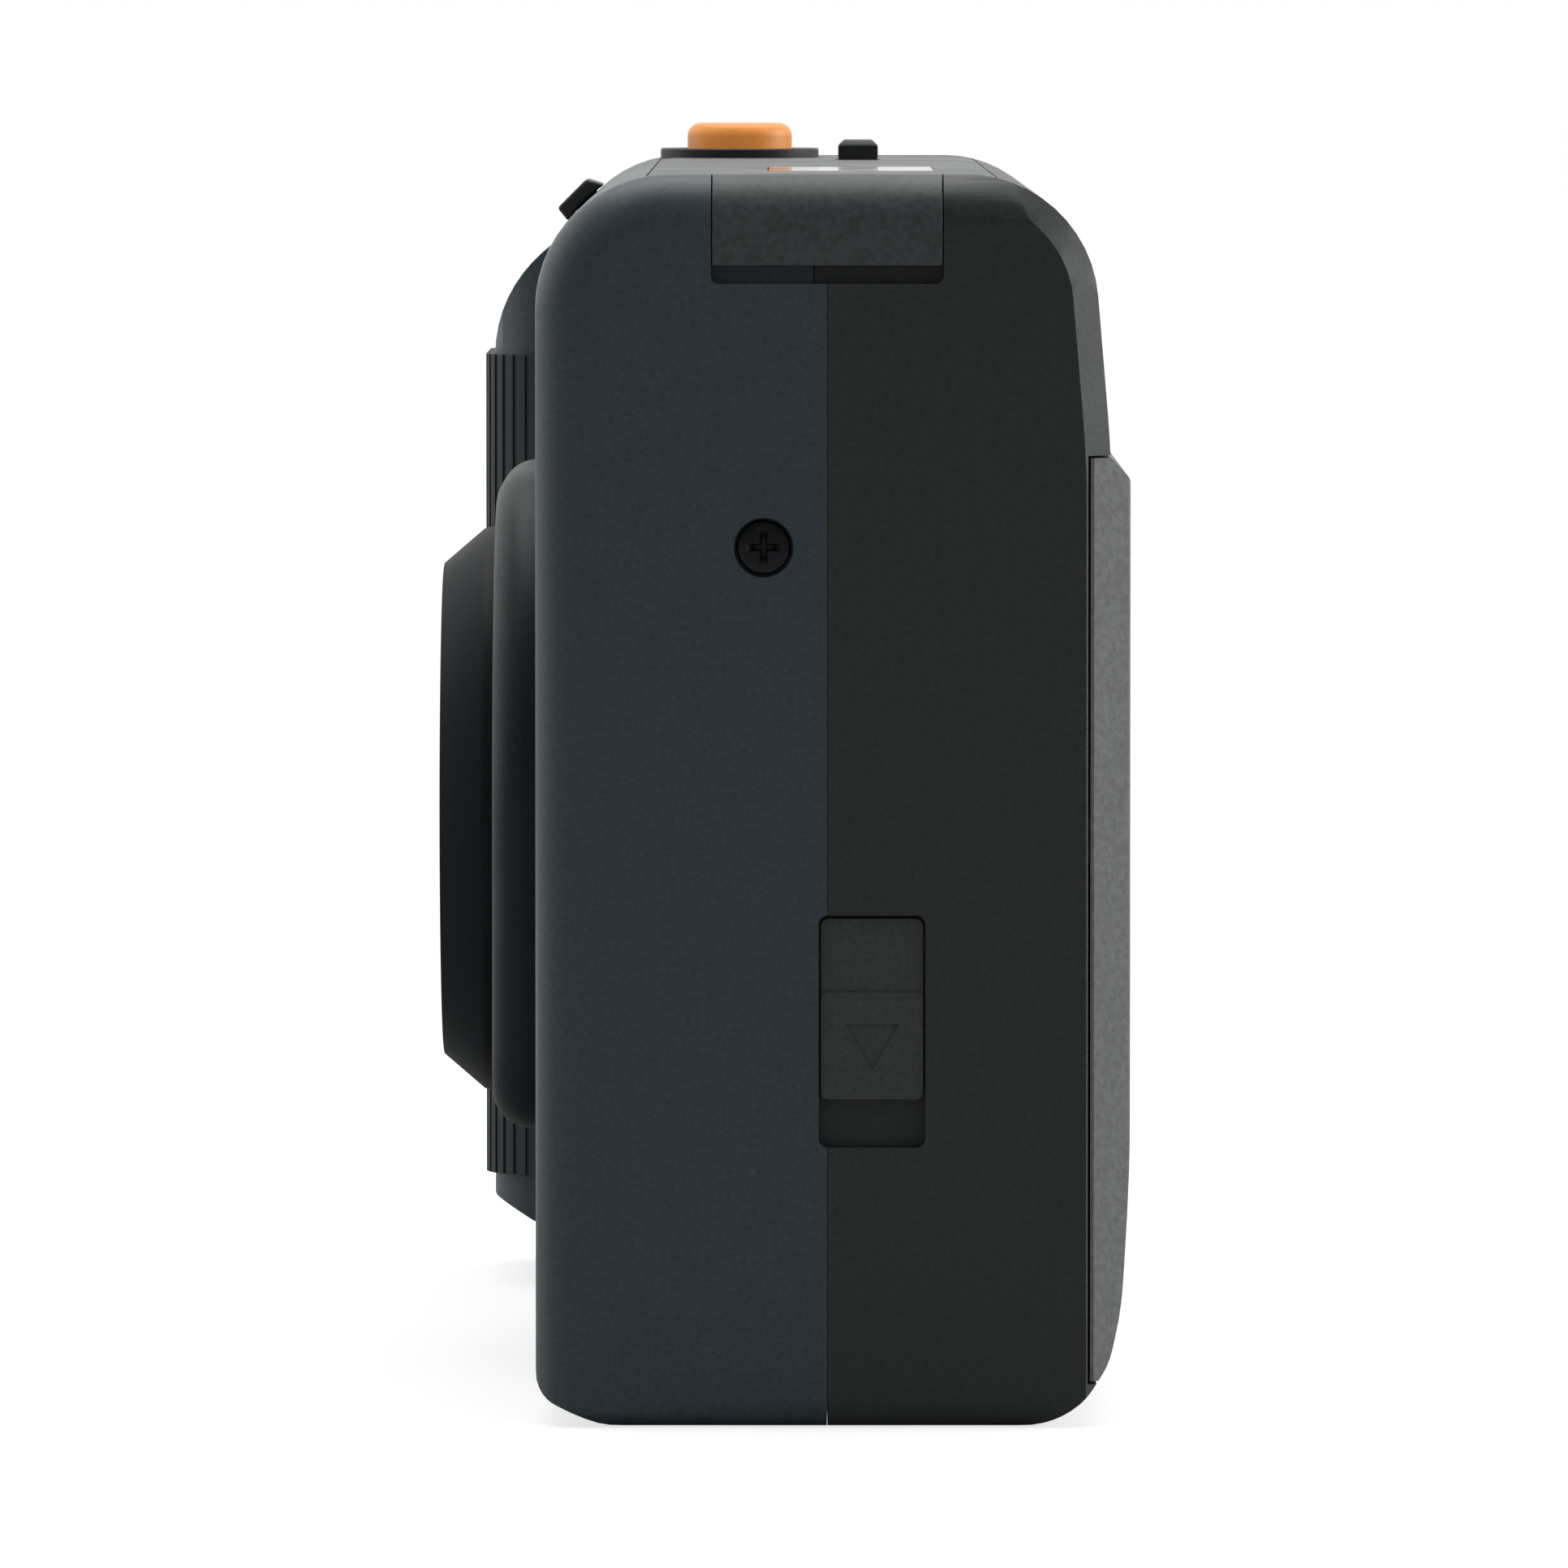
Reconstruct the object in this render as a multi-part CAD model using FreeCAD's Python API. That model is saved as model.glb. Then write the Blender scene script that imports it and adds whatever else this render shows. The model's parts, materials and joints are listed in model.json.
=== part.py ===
import FreeCAD, Part
import math
import os

V = FreeCAD.Vector

# Frame: millimetres, +X towards the user's left hand, the lens looks along -Y, +Z is up.
# The origin is the centre of the tripod socket's mouth, on the base.

# Body envelope
body_width = 126.0
front_y = -15.3
back_y = 16.45
body_height = 69.0
wall = 1.5
seam_y = 0.8
lap_length = 0.7
lap_margin = 1.0
top_front_radius = 7.4
top_back_radius = 7.3
base_front_rise = 1.67
base_front_run = 3.75
base_front_radius = 1.85
base_back_radius = 5.1
back_lean = 1.3
back_bend_radius = 60.0
end_round = 3.0
end_bevel = 1.4
end_base_radius = 1.5

# Clearances
fit_gap = 0.06
seam_gap = 0.03
slide_gap = 0.15
running_gap = 0.05
inner_gap = 0.15

# Hand grip, on the side of the user's right hand
grip_proud = 4.0
grip_width = 25.0
grip_corner_radius = 6.0
grip_flank_radius = 5.5
grip_flank_run = 3.0
grip_hump_radius = 8.5
grip_hump_drop = 7.6
grip_slope_rise = 3.9
grip_ledge_z = 5.4
grip_chamfer_run = 2.4
grip_chamfer_rise = 1.4
pad_bottom_z = 6.8
pad_top_drop = 12.0
pad_proud = 0.55
pad_sunk = 0.4
pad_seat_gap = 0.02
pad_side_margin = 4.0
pad_flank_depth = 0.5
rib_pitch = 1.0
rib_groove_width = 0.34
rib_groove_depth = 0.13

# Top cover and what stands on it
cover_front_y = -9.2
cover_back_y = 10.2
tab_front_y = -5.6
tab_back_y = 7.2
tab_drop = 5.0
tab_slot_height = 1.0
tab_slot_depth = 1.1
button_from_end = 17.0
button_y = -4.3
button_length = 10.0
button_width = 6.4
button_proud = 2.1
button_travel = 1.0
collar_proud = 0.55
collar_rim = 1.7
collar_sunk = 0.6
mode_from_end = 33.0
mode_y = 2.9
mode_length = 4.2
mode_width = 2.4
mode_proud = 1.2
mode_travel = 0.5
flange_rim = 0.8
flange_height = 0.7
stem_radius = 1.5
counter_from_end = 33.0
counter_y = 2.2
counter_length = 24.0
counter_width = 9.4
panel_height = 1.3

# Main switch on the top front corner
switch_from_lens = 9.0
switch_length = 7.0
switch_travel = 5.0
switch_proud = 0.95
switch_chord = 3.3
switch_lean = 0.75
switch_stem = 1.4
switch_foot = 3.2

# Lens and lens surround
surround_half_width = 26.0
surround_below = 17.2
surround_above = 20.2
surround_proud = 2.9
surround_top_corner = 19.0
surround_base_corner = 4.5
surround_edge = 2.2
ring_base_radius = 16.4
ring_front_radius = 14.4
ring_height = 3.2
ring_straight = 0.7
ring_spigot_radius = 15.6
ring_spigot_wall = 0.7
ring_face_rim = 1.8
ring_face_depth = 0.9
ring_face_wall = 0.6
lens_opening_radius = 6.4
barrier_cover = 0.4
barrier_thickness = 0.4
barrier_gap = 0.2
barrier_pivot_x = 11.0
barrier_pivot_z = 1.2
barrier_open_angle = 38.0
barrier_plate_thickness = 0.7
pivot_radius = 0.5
eye_radius = 1.1
cell_wall = 2.6
front_cell_length = 3.7
front_lens_seat = 0.5
front_lens_thickness = 1.3
middle_lens_seat = 2.3
middle_lens_thickness = 1.0
rear_lens_seat = 2.2
rear_lens_thickness = 2.0
cell_step = 0.8
cell_step_thickness = 0.3
shutter_radius = 12.0
shutter_thickness = 2.6
shutter_plate = 0.6
shutter_wall = 0.8
shutter_aperture = 4.6
shutter_blade_thickness = 0.3
shutter_blade_radius = 5.2
shutter_pivot_x = 8.6
shutter_overlap = 0.6
rear_cell_radius = 7.4
rear_cell_length = 5.4
rear_cell_wall = 2.0
front_wall_hole = 12.4

# Film path
cassette_radius = 13.0
top_room = 14.0
chamber_wall = 1.2
deck = 1.2
floor_z = 6.8
latch_room = 2.8
gate_margin = 4.3
frame_width = 36.0
frame_height = 24.0
gate_depth = 1.2
rail_height = 0.3
film_half_height = 17.5
film_plane_from_seat = 4.25
cassette_y = -0.3
spool_from_lens = 37.5
spool_y = -1.5
spool_radius = 6.6
spool_wall = 1.0
takeup_radius = 11.0
takeup_wall = 1.0
sprocket_from_frame = 5.2
sprocket_radius = 5.9
sprocket_tooth = 1.0
sprocket_teeth = 8
sprocket_row = 14.1
sprocket_disc = 1.4
sprocket_shaft = 1.6
journal_radius = 0.8
tunnel_front_y = -8.0
tunnel_front_width = 23.6
tunnel_front_height = 17.6
tunnel_wall = 1.2
mount_plate_half = 14.0

# Drive
gear_module = 0.5
pressure_angle = 20.0
gear_backlash = 0.12
wheel_z = 3.0
wheel_thickness = 1.6
pinion_teeth = 10
wheel_teeth = 30
transfer_teeth = 24
transfer_count = 3
transfer_heading = 189.6
reduction_heading = 11.5
motor_radius = 5.2
motor_length = 30.0
motor_shaft = 0.7
motor_shaft_length = 5.0
motor_bush_depth = 6.0
reduction_shaft = 1.2
fork_shaft = 1.6
fork_height = 4.3
fork_span = 4.8
fork_thickness = 1.1

# Back door, latch and hinge
door_seat_y = 15.15
door_seat_gap = 0.14
door_outer_y = 17.53
door_bottom_z = 2.5
door_top_drop = 15.6
door_side_inset = 0.7
door_bevel_run = 1.9
door_edge = 0.2
door_skin = 1.3
door_rim = 3.0
door_top_run = 1.2
# The door's lower back: distance in from its outer face, height above its lower edge, radius
door_bow = [(1.77, 0.0, 0.0), (1.18, 0.85, 4.0), (0.48, 3.8, 18.0), (0.0, 11.5, 100.0)]
opening_bottom_z = 4.0
opening_margin = 1.0
hinge_from_end = 3.2
hinge_y = 15.9
hinge_radius = 1.5
hinge_pin_radius = 0.75
hinge_ear = 2.6
hinge_barrel_from_end = 3.6
plate_reach_left = 19.2
plate_reach_right = 21.0
plate_half_height = 16.5
plate_thickness = 1.0
plate_corner = 1.5
leaf_reach = 14.0
leaf_foot = 4.0
leaf_thickness = 0.3
leaf_width = 8.0
plate_gap = 0.3
latch_front_y = 0.33
latch_back_y = 6.2
latch_recess_z = 15.45
latch_recess_top_z = 28.25
latch_recess_depth = 1.3
latch_floor = 0.9
latch_lip = 0.35
knob_z = 18.1
knob_height = 5.9
knob_inset = 0.25
cover_plate_inset = 0.5
cover_plate_gap = 0.2
latch_travel = 2.4
triangle_side = 2.9
triangle_depth = 0.12
triangle_place = 0.7
latch_shank = 2.2
latch_shank_height = 1.4
latch_shank_drop = 1.0
strap_thickness = 0.9
strap_bottom_z = 14.5
catch_z = 31.0
catch_height = 2.5
catch_reach_y = 8.0
catch_nose = 1.1
catch_nose_drop = 1.0
catch_gap = 0.3
latch_coil_radius = 0.95
latch_coil_wire = 0.3
latch_coil_length = 5.0
coil_turns = 6
seal_width = 1.6
film_window_height = 24.0
film_window_width = 5.0

# Windows, viewfinder, flash and autofocus, above the film chambers
finder_from_lens = 12.0
finder_width = 12.0
finder_wall = 0.8
objective_seat = 1.6
objective_thickness = 1.8
window_bottom_drop = 12.1
window_top_drop = 4.4
flash_from_end = 14.5
flash_width = 19.0
flash_groove = 3.2
flash_tube_radius = 1.1
capacitor_radius = 4.2
capacitor_length = 26.0
capacitor_y = 4.0
autofocus_from_lens = 17.0
autofocus_spacing = 12.0
autofocus_radius = 2.4
autofocus_drop = 9.0
eyepiece_width = 10.0
eyepiece_height = 6.4
eyepiece_sunk = 0.4
module_depth = 4.2

# Circuit board
board_gap = 0.8
board_thickness = 1.0
board_from_end = 7.0
board_back_y = 11.5
board_front_y = -7.4
switch_block = 6.0
switch_block_height = 2.3
spring_radius = 2.1
spring_wire = 0.35
mode_block_height = 2.0
# Each chip: distance in from the board's right end, y, length, width, height
board_chips = [(26.5, 4.0, 10.0, 10.0, 1.6), (10.5, 5.0, 7.0, 5.0, 1.4), (36.5, -3.0, 6.0, 4.0, 1.2),
               (7.5, -4.0, 4.0, 2.5, 2.4)]

# Battery in the grip
battery_radius = 8.4
battery_length = 34.2
battery_nub_radius = 3.4
battery_nub = 0.8
battery_bottom_z = 6.7
battery_bore_gap = 0.15
battery_box_wall = 0.65
battery_side_gap = 1.9
battery_y = -9.1
battery_cap = 2.0
contact_thickness = 0.3
battery_door_margin = 0.4
battery_door_step = 1.0
battery_door_top_z = 6.4
battery_hinge_radius = 0.75
battery_hinge_front_y = -10.0
battery_hinge_back_y = -1.2

# Fasteners and tripod socket
screw_head_radius = 1.5
screw_head_height = 0.8
screw_shank_radius = 0.85
screw_length = 5.0
screw_recess_gap = 0.14
screw_recess_depth = 0.95
screw_cross = 0.4
screw_cross_length = 1.9
screw_cross_depth = 0.5
side_screw_y = -2.7
side_screw_drop = 20.5
post_radius = 2.0
post_from_spool = 8.5
post_from_cassette = 10.5
post_front_y = -8.5
post_back_y = 9.0
socket_bore_radius = 2.55
socket_bore_depth = 5.5
socket_radius = 4.0
socket_flange_radius = 5.2
socket_flange = 1.2

# Places that follow from the sizes above
half = body_width / 2.0
inner_x = half - wall
inner_front_y = front_y + wall
grip_front_y = front_y - grip_proud
grip_hump_z = body_height - grip_hump_drop
pad_top_z = body_height - pad_top_drop
deck_z = floor_z + deck
chamber_height = body_height - deck_z - top_room
ceiling_z = deck_z + chamber_height
lens_z = deck_z + chamber_height / 2.0
tab_bottom_z = body_height - tab_drop
button_top_z = body_height + button_proud
mode_top_z = body_height + mode_proud
button_x = button_from_end - half
mode_x = mode_from_end - half
counter_x = half - counter_from_end
side_screw_z = body_height - side_screw_drop
door_top_z = body_height - door_top_drop
opening_top_z = door_top_z - opening_margin
hinge_x = hinge_from_end - half
window_bottom_z = body_height - window_bottom_drop
window_top_z = body_height - window_top_drop
autofocus_z = body_height - autofocus_drop
flash_x = half - flash_from_end
cassette_x = inner_x - latch_room - chamber_wall - cassette_radius
lens_x = cassette_x - cassette_radius - chamber_wall - gate_margin - frame_width / 2.0
finder_x = lens_x + finder_from_lens
autofocus_x = lens_x - autofocus_from_lens
switch_x = lens_x - switch_from_lens
spool_x = lens_x - spool_from_lens
post_x_left = spool_x - post_from_spool
post_x_right = cassette_x + post_from_cassette
rail_y = door_seat_y - film_plane_from_seat
sprocket_x = lens_x - frame_width / 2.0 - sprocket_from_frame
sprocket_y = rail_y + rail_height - sprocket_radius
surround_front_y = front_y - surround_proud
ring_front_y = surround_front_y - ring_height
ring_cavity_y = ring_front_y + ring_face_depth + ring_face_wall
ring_cavity_radius = ring_spigot_radius - ring_spigot_wall
barrier_y = ring_cavity_y + barrier_gap
barrier_plate_y = barrier_y + barrier_thickness + barrier_gap
cell_y = barrier_plate_y + barrier_plate_thickness + 0.1
cell_inner_radius = lens_opening_radius + 0.2
shutter_y = cell_y + front_cell_length + 0.1
rear_cell_y = shutter_y + shutter_thickness + 0.1
door_inner_y = door_seat_y + door_seat_gap
plate_y = rail_y + rail_height + 0.25 + plate_gap
knob_face_x = half - knob_inset
latch_floor_x = half - latch_recess_depth
strap_x = latch_floor_x - latch_floor - 0.2 - strap_thickness
battery_x = -inner_x + battery_side_gap + battery_radius
board_z = ceiling_z + deck + board_gap
board_left_x = board_from_end - half
board_right_x = finder_x - finder_width / 2.0 - 1.5
cover_under_z = body_height - wall - 0.1
wheel_top_z = wheel_z + wheel_thickness
mount_ring_y = rear_cell_y - 0.05


def box(x0, x1, y0, y1, z0, z1):
    """A block between two corners."""
    return Part.makeBox(x1 - x0, y1 - y0, z1 - z0, V(x0, y0, z0))


def rod(axis, centre, radius, start, end):
    """A cylinder along an axis; centre holds the two other coordinates, in order."""
    if axis == "x":
        return Part.makeCylinder(radius, end - start, V(start, centre[0], centre[1]), V(1, 0, 0))
    if axis == "y":
        return Part.makeCylinder(radius, end - start, V(centre[0], start, centre[1]), V(0, 1, 0))
    return Part.makeCylinder(radius, end - start, V(centre[0], centre[1], start), V(0, 0, 1))


def tube(axis, centre, outer, inner, start, end):
    """A cylinder with a bore right through."""
    return rod(axis, centre, outer, start, end).cut(rod(axis, centre, inner, start - 1, end + 1))


def union(shapes):
    """All shapes joined into one, with faces that run on merged."""
    first = shapes[0]
    return first.fuse(shapes[1:]).removeSplitter()


def turned(corners):
    """The corners in counter clockwise order."""
    area = 0.0
    for (u0, v0, r0), (u1, v1, r1) in zip(corners, corners[1:] + corners[:1]):
        area += u0 * v1 - u1 * v0
    return corners if area > 0 else corners[::-1]


def inset_corners(corners, inset):
    """The outline moved inwards by inset, with its corner radii following."""
    corners = turned(corners)
    moved = []
    for i, (u, v, r) in enumerate(corners):
        before, after = corners[i - 1], corners[(i + 1) % len(corners)]
        d0 = V(u - before[0], v - before[1], 0).normalize()
        d1 = V(after[0] - u, after[1] - v, 0).normalize()
        n0, n1 = V(-d0.y, d0.x, 0), V(-d1.y, d1.x, 0)
        bisector = (n0 + n1).normalize()
        step = inset / bisector.dot(n0)
        convex = d0.cross(d1).z > 0
        radius = max(r - inset, 0.0) if convex else (r + inset if r else 0.0)
        moved.append((u + bisector.x * step, v + bisector.y * step, radius))
    return moved


def outline_face(corners, place, inset=0.0):
    """A flat face from corners (u, v, radius); place turns u and v into a point."""
    corners = inset_corners(corners, inset)
    spans = []
    for i, (u, v, r) in enumerate(corners):
        here = V(u, v, 0)
        to_before = (V(corners[i - 1][0], corners[i - 1][1], 0) - here).normalize()
        after = corners[(i + 1) % len(corners)]
        to_after = (V(after[0], after[1], 0) - here).normalize()
        if r <= 0:
            spans.append((here, None, here))
            continue
        half_angle = to_before.getAngle(to_after) / 2.0
        reach = r / math.tan(half_angle)
        bisector = (to_before + to_after).normalize()
        middle = here + bisector * (r / math.sin(half_angle) - r)
        spans.append((here + to_before * reach, middle, here + to_after * reach))
    edges = []
    for i, (start, middle, end) in enumerate(spans):
        if middle is not None:
            arc = Part.Arc(place(start.x, start.y), place(middle.x, middle.y), place(end.x, end.y))
            edges.append(arc.toShape())
        following = spans[(i + 1) % len(spans)][0]
        if end.distanceToPoint(following) > 1e-6:
            edges.append(Part.makeLine(place(end.x, end.y), place(following.x, following.y)))
    return Part.Face(Part.Wire(edges))


def prism_x(corners, x0, x1, inset=0.0):
    """A side outline (Y, Z) carried along X."""
    return outline_face(corners, lambda u, v: V(x0, u, v), inset).extrude(V(x1 - x0, 0, 0))


def prism_y(corners, y0, y1, inset=0.0):
    """A front outline (X, Z) carried along Y."""
    return outline_face(corners, lambda u, v: V(u, y0, v), inset).extrude(V(0, y1 - y0, 0))


def prism_z(corners, z0, z1, inset=0.0):
    """A plan outline (X, Y) carried along Z."""
    return outline_face(corners, lambda u, v: V(u, v, z0), inset).extrude(V(0, 0, z1 - z0))


def rounded_box(x0, x1, z0, z1, radius):
    """The corners of a rounded rectangle."""
    return [(x0, z0, radius), (x1, z0, radius), (x1, z1, radius), (x0, z1, radius)]


def end_edges(solid, end_x):
    """The edges round both ends of a solid that is carried along X, its lowest ones left out."""
    edges = []
    for edge in solid.Edges:
        box_of = edge.BoundBox
        at_end = box_of.XLength < 0.001 and abs(abs(box_of.XMin) - end_x) < 0.001
        if at_end and box_of.ZMax > 0:
            edges.append(edge)
    return edges


def body_solid(inset=0.0, bevelled=False):
    """The body without the grip. On the rear shell the ends are bevelled, and soft along the top only."""
    root_z = -10.0
    upper = [(front_y, root_z, 0.0), (back_y, root_z, 0.0), (back_y, door_top_z, back_bend_radius),
             (back_y - back_lean, body_height, top_back_radius), (front_y, body_height, top_front_radius)]
    end_x = half - inset
    solid = prism_x(upper, -end_x, end_x, inset)
    edges = end_edges(solid, end_x)
    if bevelled:
        solid = solid.makeChamfer(end_bevel - inset * (2.0 - math.sqrt(2.0)), edges)
    else:
        solid = solid.makeFillet(end_round - inset, edges)
    high = body_height + 5.0
    top_z, top_round = (body_height, end_round) if bevelled else (high, 0.0)
    side = [(front_y, base_front_rise, base_front_radius), (front_y + base_front_run, 0.0, 5.0),
            (back_y, 0.0, base_back_radius), (back_y, high, 0.0), (front_y, high, 0.0)]
    front = [(-half, 0.0, end_base_radius), (half, 0.0, end_base_radius), (half, top_z, top_round),
             (-half, top_z, top_round)]
    solid = solid.common(prism_x(side, -half - 1, half + 1, inset))
    return solid.common(prism_y(front, front_y - 1, back_y + 1, inset))


def grip_solid(inset=0.0):
    """The hump of the hand grip, from its chamfered foot to its rounded top."""
    root_y = front_y + 5.0
    side = [(root_y, grip_ledge_z - grip_chamfer_rise - 1.5, 0.0),
            (grip_front_y + grip_chamfer_run, grip_ledge_z - grip_chamfer_rise, 0.3),
            (grip_front_y, grip_ledge_z, 0.3), (grip_front_y, grip_hump_z, grip_hump_radius),
            (root_y, grip_hump_z + grip_slope_rise * 1.5, 0.0)]
    flank_x = grip_width - half
    plan = [(-half, root_y, 0.0), (-half, grip_front_y, grip_corner_radius),
            (flank_x, grip_front_y, grip_flank_radius), (flank_x + grip_flank_run, root_y, 0.0)]
    solid = prism_x(side, -half - 1, flank_x + grip_flank_run + 1, inset)
    return solid.common(prism_z(plan, 0, grip_hump_z + 12.0, inset))


def outer_solid(inset=0.0):
    """Body and grip together, optionally drawn in to the inside of the wall."""
    return body_solid(inset).fuse(grip_solid(inset)).removeSplitter()


def cover_zone(shrink=0.0):
    """The space of the top cover with its two end tabs."""
    cover_x = half - end_round
    zone = box(shrink - cover_x, cover_x - shrink, cover_front_y + shrink, cover_back_y - shrink,
               body_height - 3.0, body_height + 2.0)
    tabs = box(-half - 1, half + 1, tab_front_y + shrink, tab_back_y - shrink,
               tab_bottom_z, body_height + 2.0)
    middle = box(wall + shrink - half, half - wall - shrink, tab_front_y, tab_back_y,
                 tab_bottom_z - 1, body_height - 3.0)
    return zone.fuse(tabs).cut(middle)


def side_mirror(shape):
    """The same shape on the other side of the camera."""
    return shape.mirror(V(0, 0, 0), V(1, 0, 0))


def pill(x, y, length, width, z0, z1):
    """An upright block with half round ends, longer in X."""
    corners = rounded_box(x - length / 2.0, x + length / 2.0, y - width / 2.0, y + width / 2.0,
                          width / 2.0 - 0.01)
    return prism_z(corners, z0, z1)


def base_screw_places():
    """The four screws in the base."""
    return [(x, y) for x in (post_x_left, post_x_right) for y in (post_front_y, post_back_y)]


def screw_holes():
    """Recesses and shank holes of all case screws, for cutting out of the shells."""
    recess = screw_head_radius + screw_recess_gap
    shank = screw_shank_radius + 0.1
    cuts = []
    for x, y in base_screw_places():
        cuts.append(rod("z", (x, y), recess, -1, screw_recess_depth))
        cuts.append(rod("z", (x, y), shank, -1, wall + 1))
    right = [rod("x", (side_screw_y, side_screw_z), recess, half - screw_recess_depth, half + 1),
             rod("x", (side_screw_y, side_screw_z), shank, inner_x - 1, half + 1)]
    return cuts + right + [side_mirror(cut) for cut in right]


def latch_cut():
    """The long recess of the latch and the slot through its floor."""
    recess = prism_x(rounded_box(latch_front_y, latch_back_y, latch_recess_z, latch_recess_top_z, 0.5),
                     latch_floor_x, half + 1)
    middle_y = (latch_front_y + latch_back_y) / 2.0
    reach = latch_shank / 2.0 + slide_gap
    shank_z0, shank_z1 = latch_shank_span()
    slot = box(latch_floor_x - 3, half, middle_y - reach, middle_y + reach,
               shank_z0 - latch_travel - slide_gap, shank_z1 + slide_gap)
    return recess.fuse(slot)


def latch_seat():
    """Room under the front shell's lip for the strip of the latch's floor that reaches there."""
    return box(latch_floor_x - latch_floor - 1, latch_floor_x + fit_gap,
               latch_front_y - latch_lip - fit_gap, seam_y, latch_recess_z - lap_margin,
               latch_recess_top_z + lap_margin)


def latch_shank_span():
    """Height span of the latch's shank, high on its finger plate so that the slot stays hidden."""
    high = knob_z + knob_height - latch_shank_drop
    return high - latch_shank_height, high


def lap_zone(shrink=0.0):
    """The step in the seam: the inner half of the wall, left out round the latch."""
    zone = body_solid(wall / 2.0 + shrink)
    zone = zone.common(box(-half, half, seam_y - lap_length - fit_gap + shrink, seam_y + seam_gap / 2.0,
                           0, tab_bottom_z))
    return zone.cut(box(inner_x - 1, half + 1, seam_y - 2, seam_y + 2,
                        latch_recess_z - lap_margin - shrink, latch_recess_top_z + lap_margin + shrink))


def battery_door_zone(shrink=0.0):
    """The space of the battery door in the grip's foot, stepped towards its hinge barrel."""
    hinge = battery_hinge_centre()[0]
    left = battery_x - battery_radius - battery_door_margin + shrink
    panel = box(left, hinge - battery_door_step - 1.5 * shrink, grip_front_y - 1,
                battery_y + battery_radius + battery_door_margin - shrink, -1,
                battery_door_top_z - shrink)
    tongue = box(hinge - battery_door_step - 1.0, hinge, battery_hinge_front_y - 0.2 + shrink,
                 battery_hinge_back_y + 0.2 - shrink, -1, 2 * battery_hinge_radius + 0.1)
    return panel.fuse(tongue)


def battery_hinge_centre():
    """Where the battery door's hinge line lies, in X and Z."""
    return battery_x + battery_radius + battery_door_margin + 0.4, battery_hinge_radius


def window_zones(shrink=0.0):
    """The front openings for the finder, the flash and the autofocus windows."""
    finder = box(finder_x - finder_width / 2.0 + shrink, finder_x + finder_width / 2.0 - shrink,
                 front_y - 1, front_y + 6, window_bottom_z + shrink, window_top_z - shrink)
    flash = box(flash_x - flash_width / 2.0 + shrink, flash_x + flash_width / 2.0 - shrink,
                front_y - 1, front_y + 6, window_bottom_z + shrink, window_top_z - shrink)
    eyes = [rod("y", (autofocus_x + side * autofocus_spacing / 2.0, autofocus_z),
                autofocus_radius - shrink, front_y - 1, front_y + 3) for side in (-1, 1)]
    return finder, flash, eyes


def pad_zone():
    """The stretch of the grip that the rubber pad covers."""
    flank_x = grip_width - half + grip_flank_run
    return box(-half + pad_side_margin, flank_x + 2, grip_front_y - 2, front_y - pad_flank_depth,
               pad_bottom_z, pad_top_z)


def switch_profile(inward, outward, chord, lean):
    """An outline across the top front corner, its outer end leaning forward."""
    corner = V(0, front_y + top_front_radius, body_height - top_front_radius)
    middle = math.radians(135.0)
    out = V(0, math.cos(middle), math.sin(middle))
    along = V(0, math.sin(middle), -math.cos(middle))
    surface = corner + out * top_front_radius
    low = surface - along * (chord / 2.0)
    high = surface + along * (chord / 2.0)
    return [low - out * inward, high - out * inward, high + out * outward - along * lean,
            low + out * outward + along * lean * 0.2]


def switch_prism(x0, x1, inward, outward, chord, lean=0.0):
    """The outline across the top front corner, carried along X."""
    points = [V(x0, p.y, p.z) for p in switch_profile(inward, outward, chord, lean)]
    return Part.Face(Part.makePolygon(points + points[:1])).extrude(V(x1 - x0, 0, 0))


def make_front_shell(skin):
    """Front half of the case: wall, grip hump, openings and screw recesses."""
    shell = skin.common(box(-half - 1, half + 1, grip_front_y - 2, seam_y - seam_gap / 2.0,
                            -1, body_height + 1))
    finder, flash, eyes = window_zones()
    slot_end = switch_length / 2.0 - 1.0
    cuts = [cover_zone(), finder, flash, latch_cut(), latch_seat(), lap_zone(), battery_door_zone(),
            rod("y", (lens_x, lens_z), front_wall_hole, front_y - 1, front_y + wall + 1),
            rod("z", (0, 0), socket_radius + running_gap, -1, wall + 1),
            switch_prism(switch_x - slot_end - switch_travel - slide_gap,
                         switch_x + slot_end + slide_gap, wall + 1.5, 1.0,
                         switch_stem + 2 * slide_gap)]
    cuts += eyes + screw_holes() + tab_slots()
    hinge = battery_hinge_centre()
    cuts.append(rod("y", hinge, battery_hinge_radius + 0.2, battery_hinge_front_y - 0.2,
                    battery_hinge_back_y + 0.2))
    cuts.append(box(hinge[0], hinge[0] + battery_hinge_radius + 0.2, battery_hinge_front_y - 0.2,
                    battery_hinge_back_y + 0.2, -1, hinge[1]))
    cuts.append(rod("y", hinge, pivot_radius + running_gap, battery_hinge_front_y - 1.5,
                    battery_hinge_back_y + 0.8))
    cuts.append(pad_zone().common(grip_solid(-2.0).cut(grip_solid(pad_sunk))))
    return shell.cut(cuts)


def tab_slots():
    """The dark slots under the cover's end tabs."""
    slot = prism_x(rounded_box(tab_front_y, tab_back_y, tab_bottom_z - tab_slot_height,
                               tab_bottom_z + 1.0, 0.45), half - tab_slot_depth, half + 1)
    return [slot, side_mirror(slot)]


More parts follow.
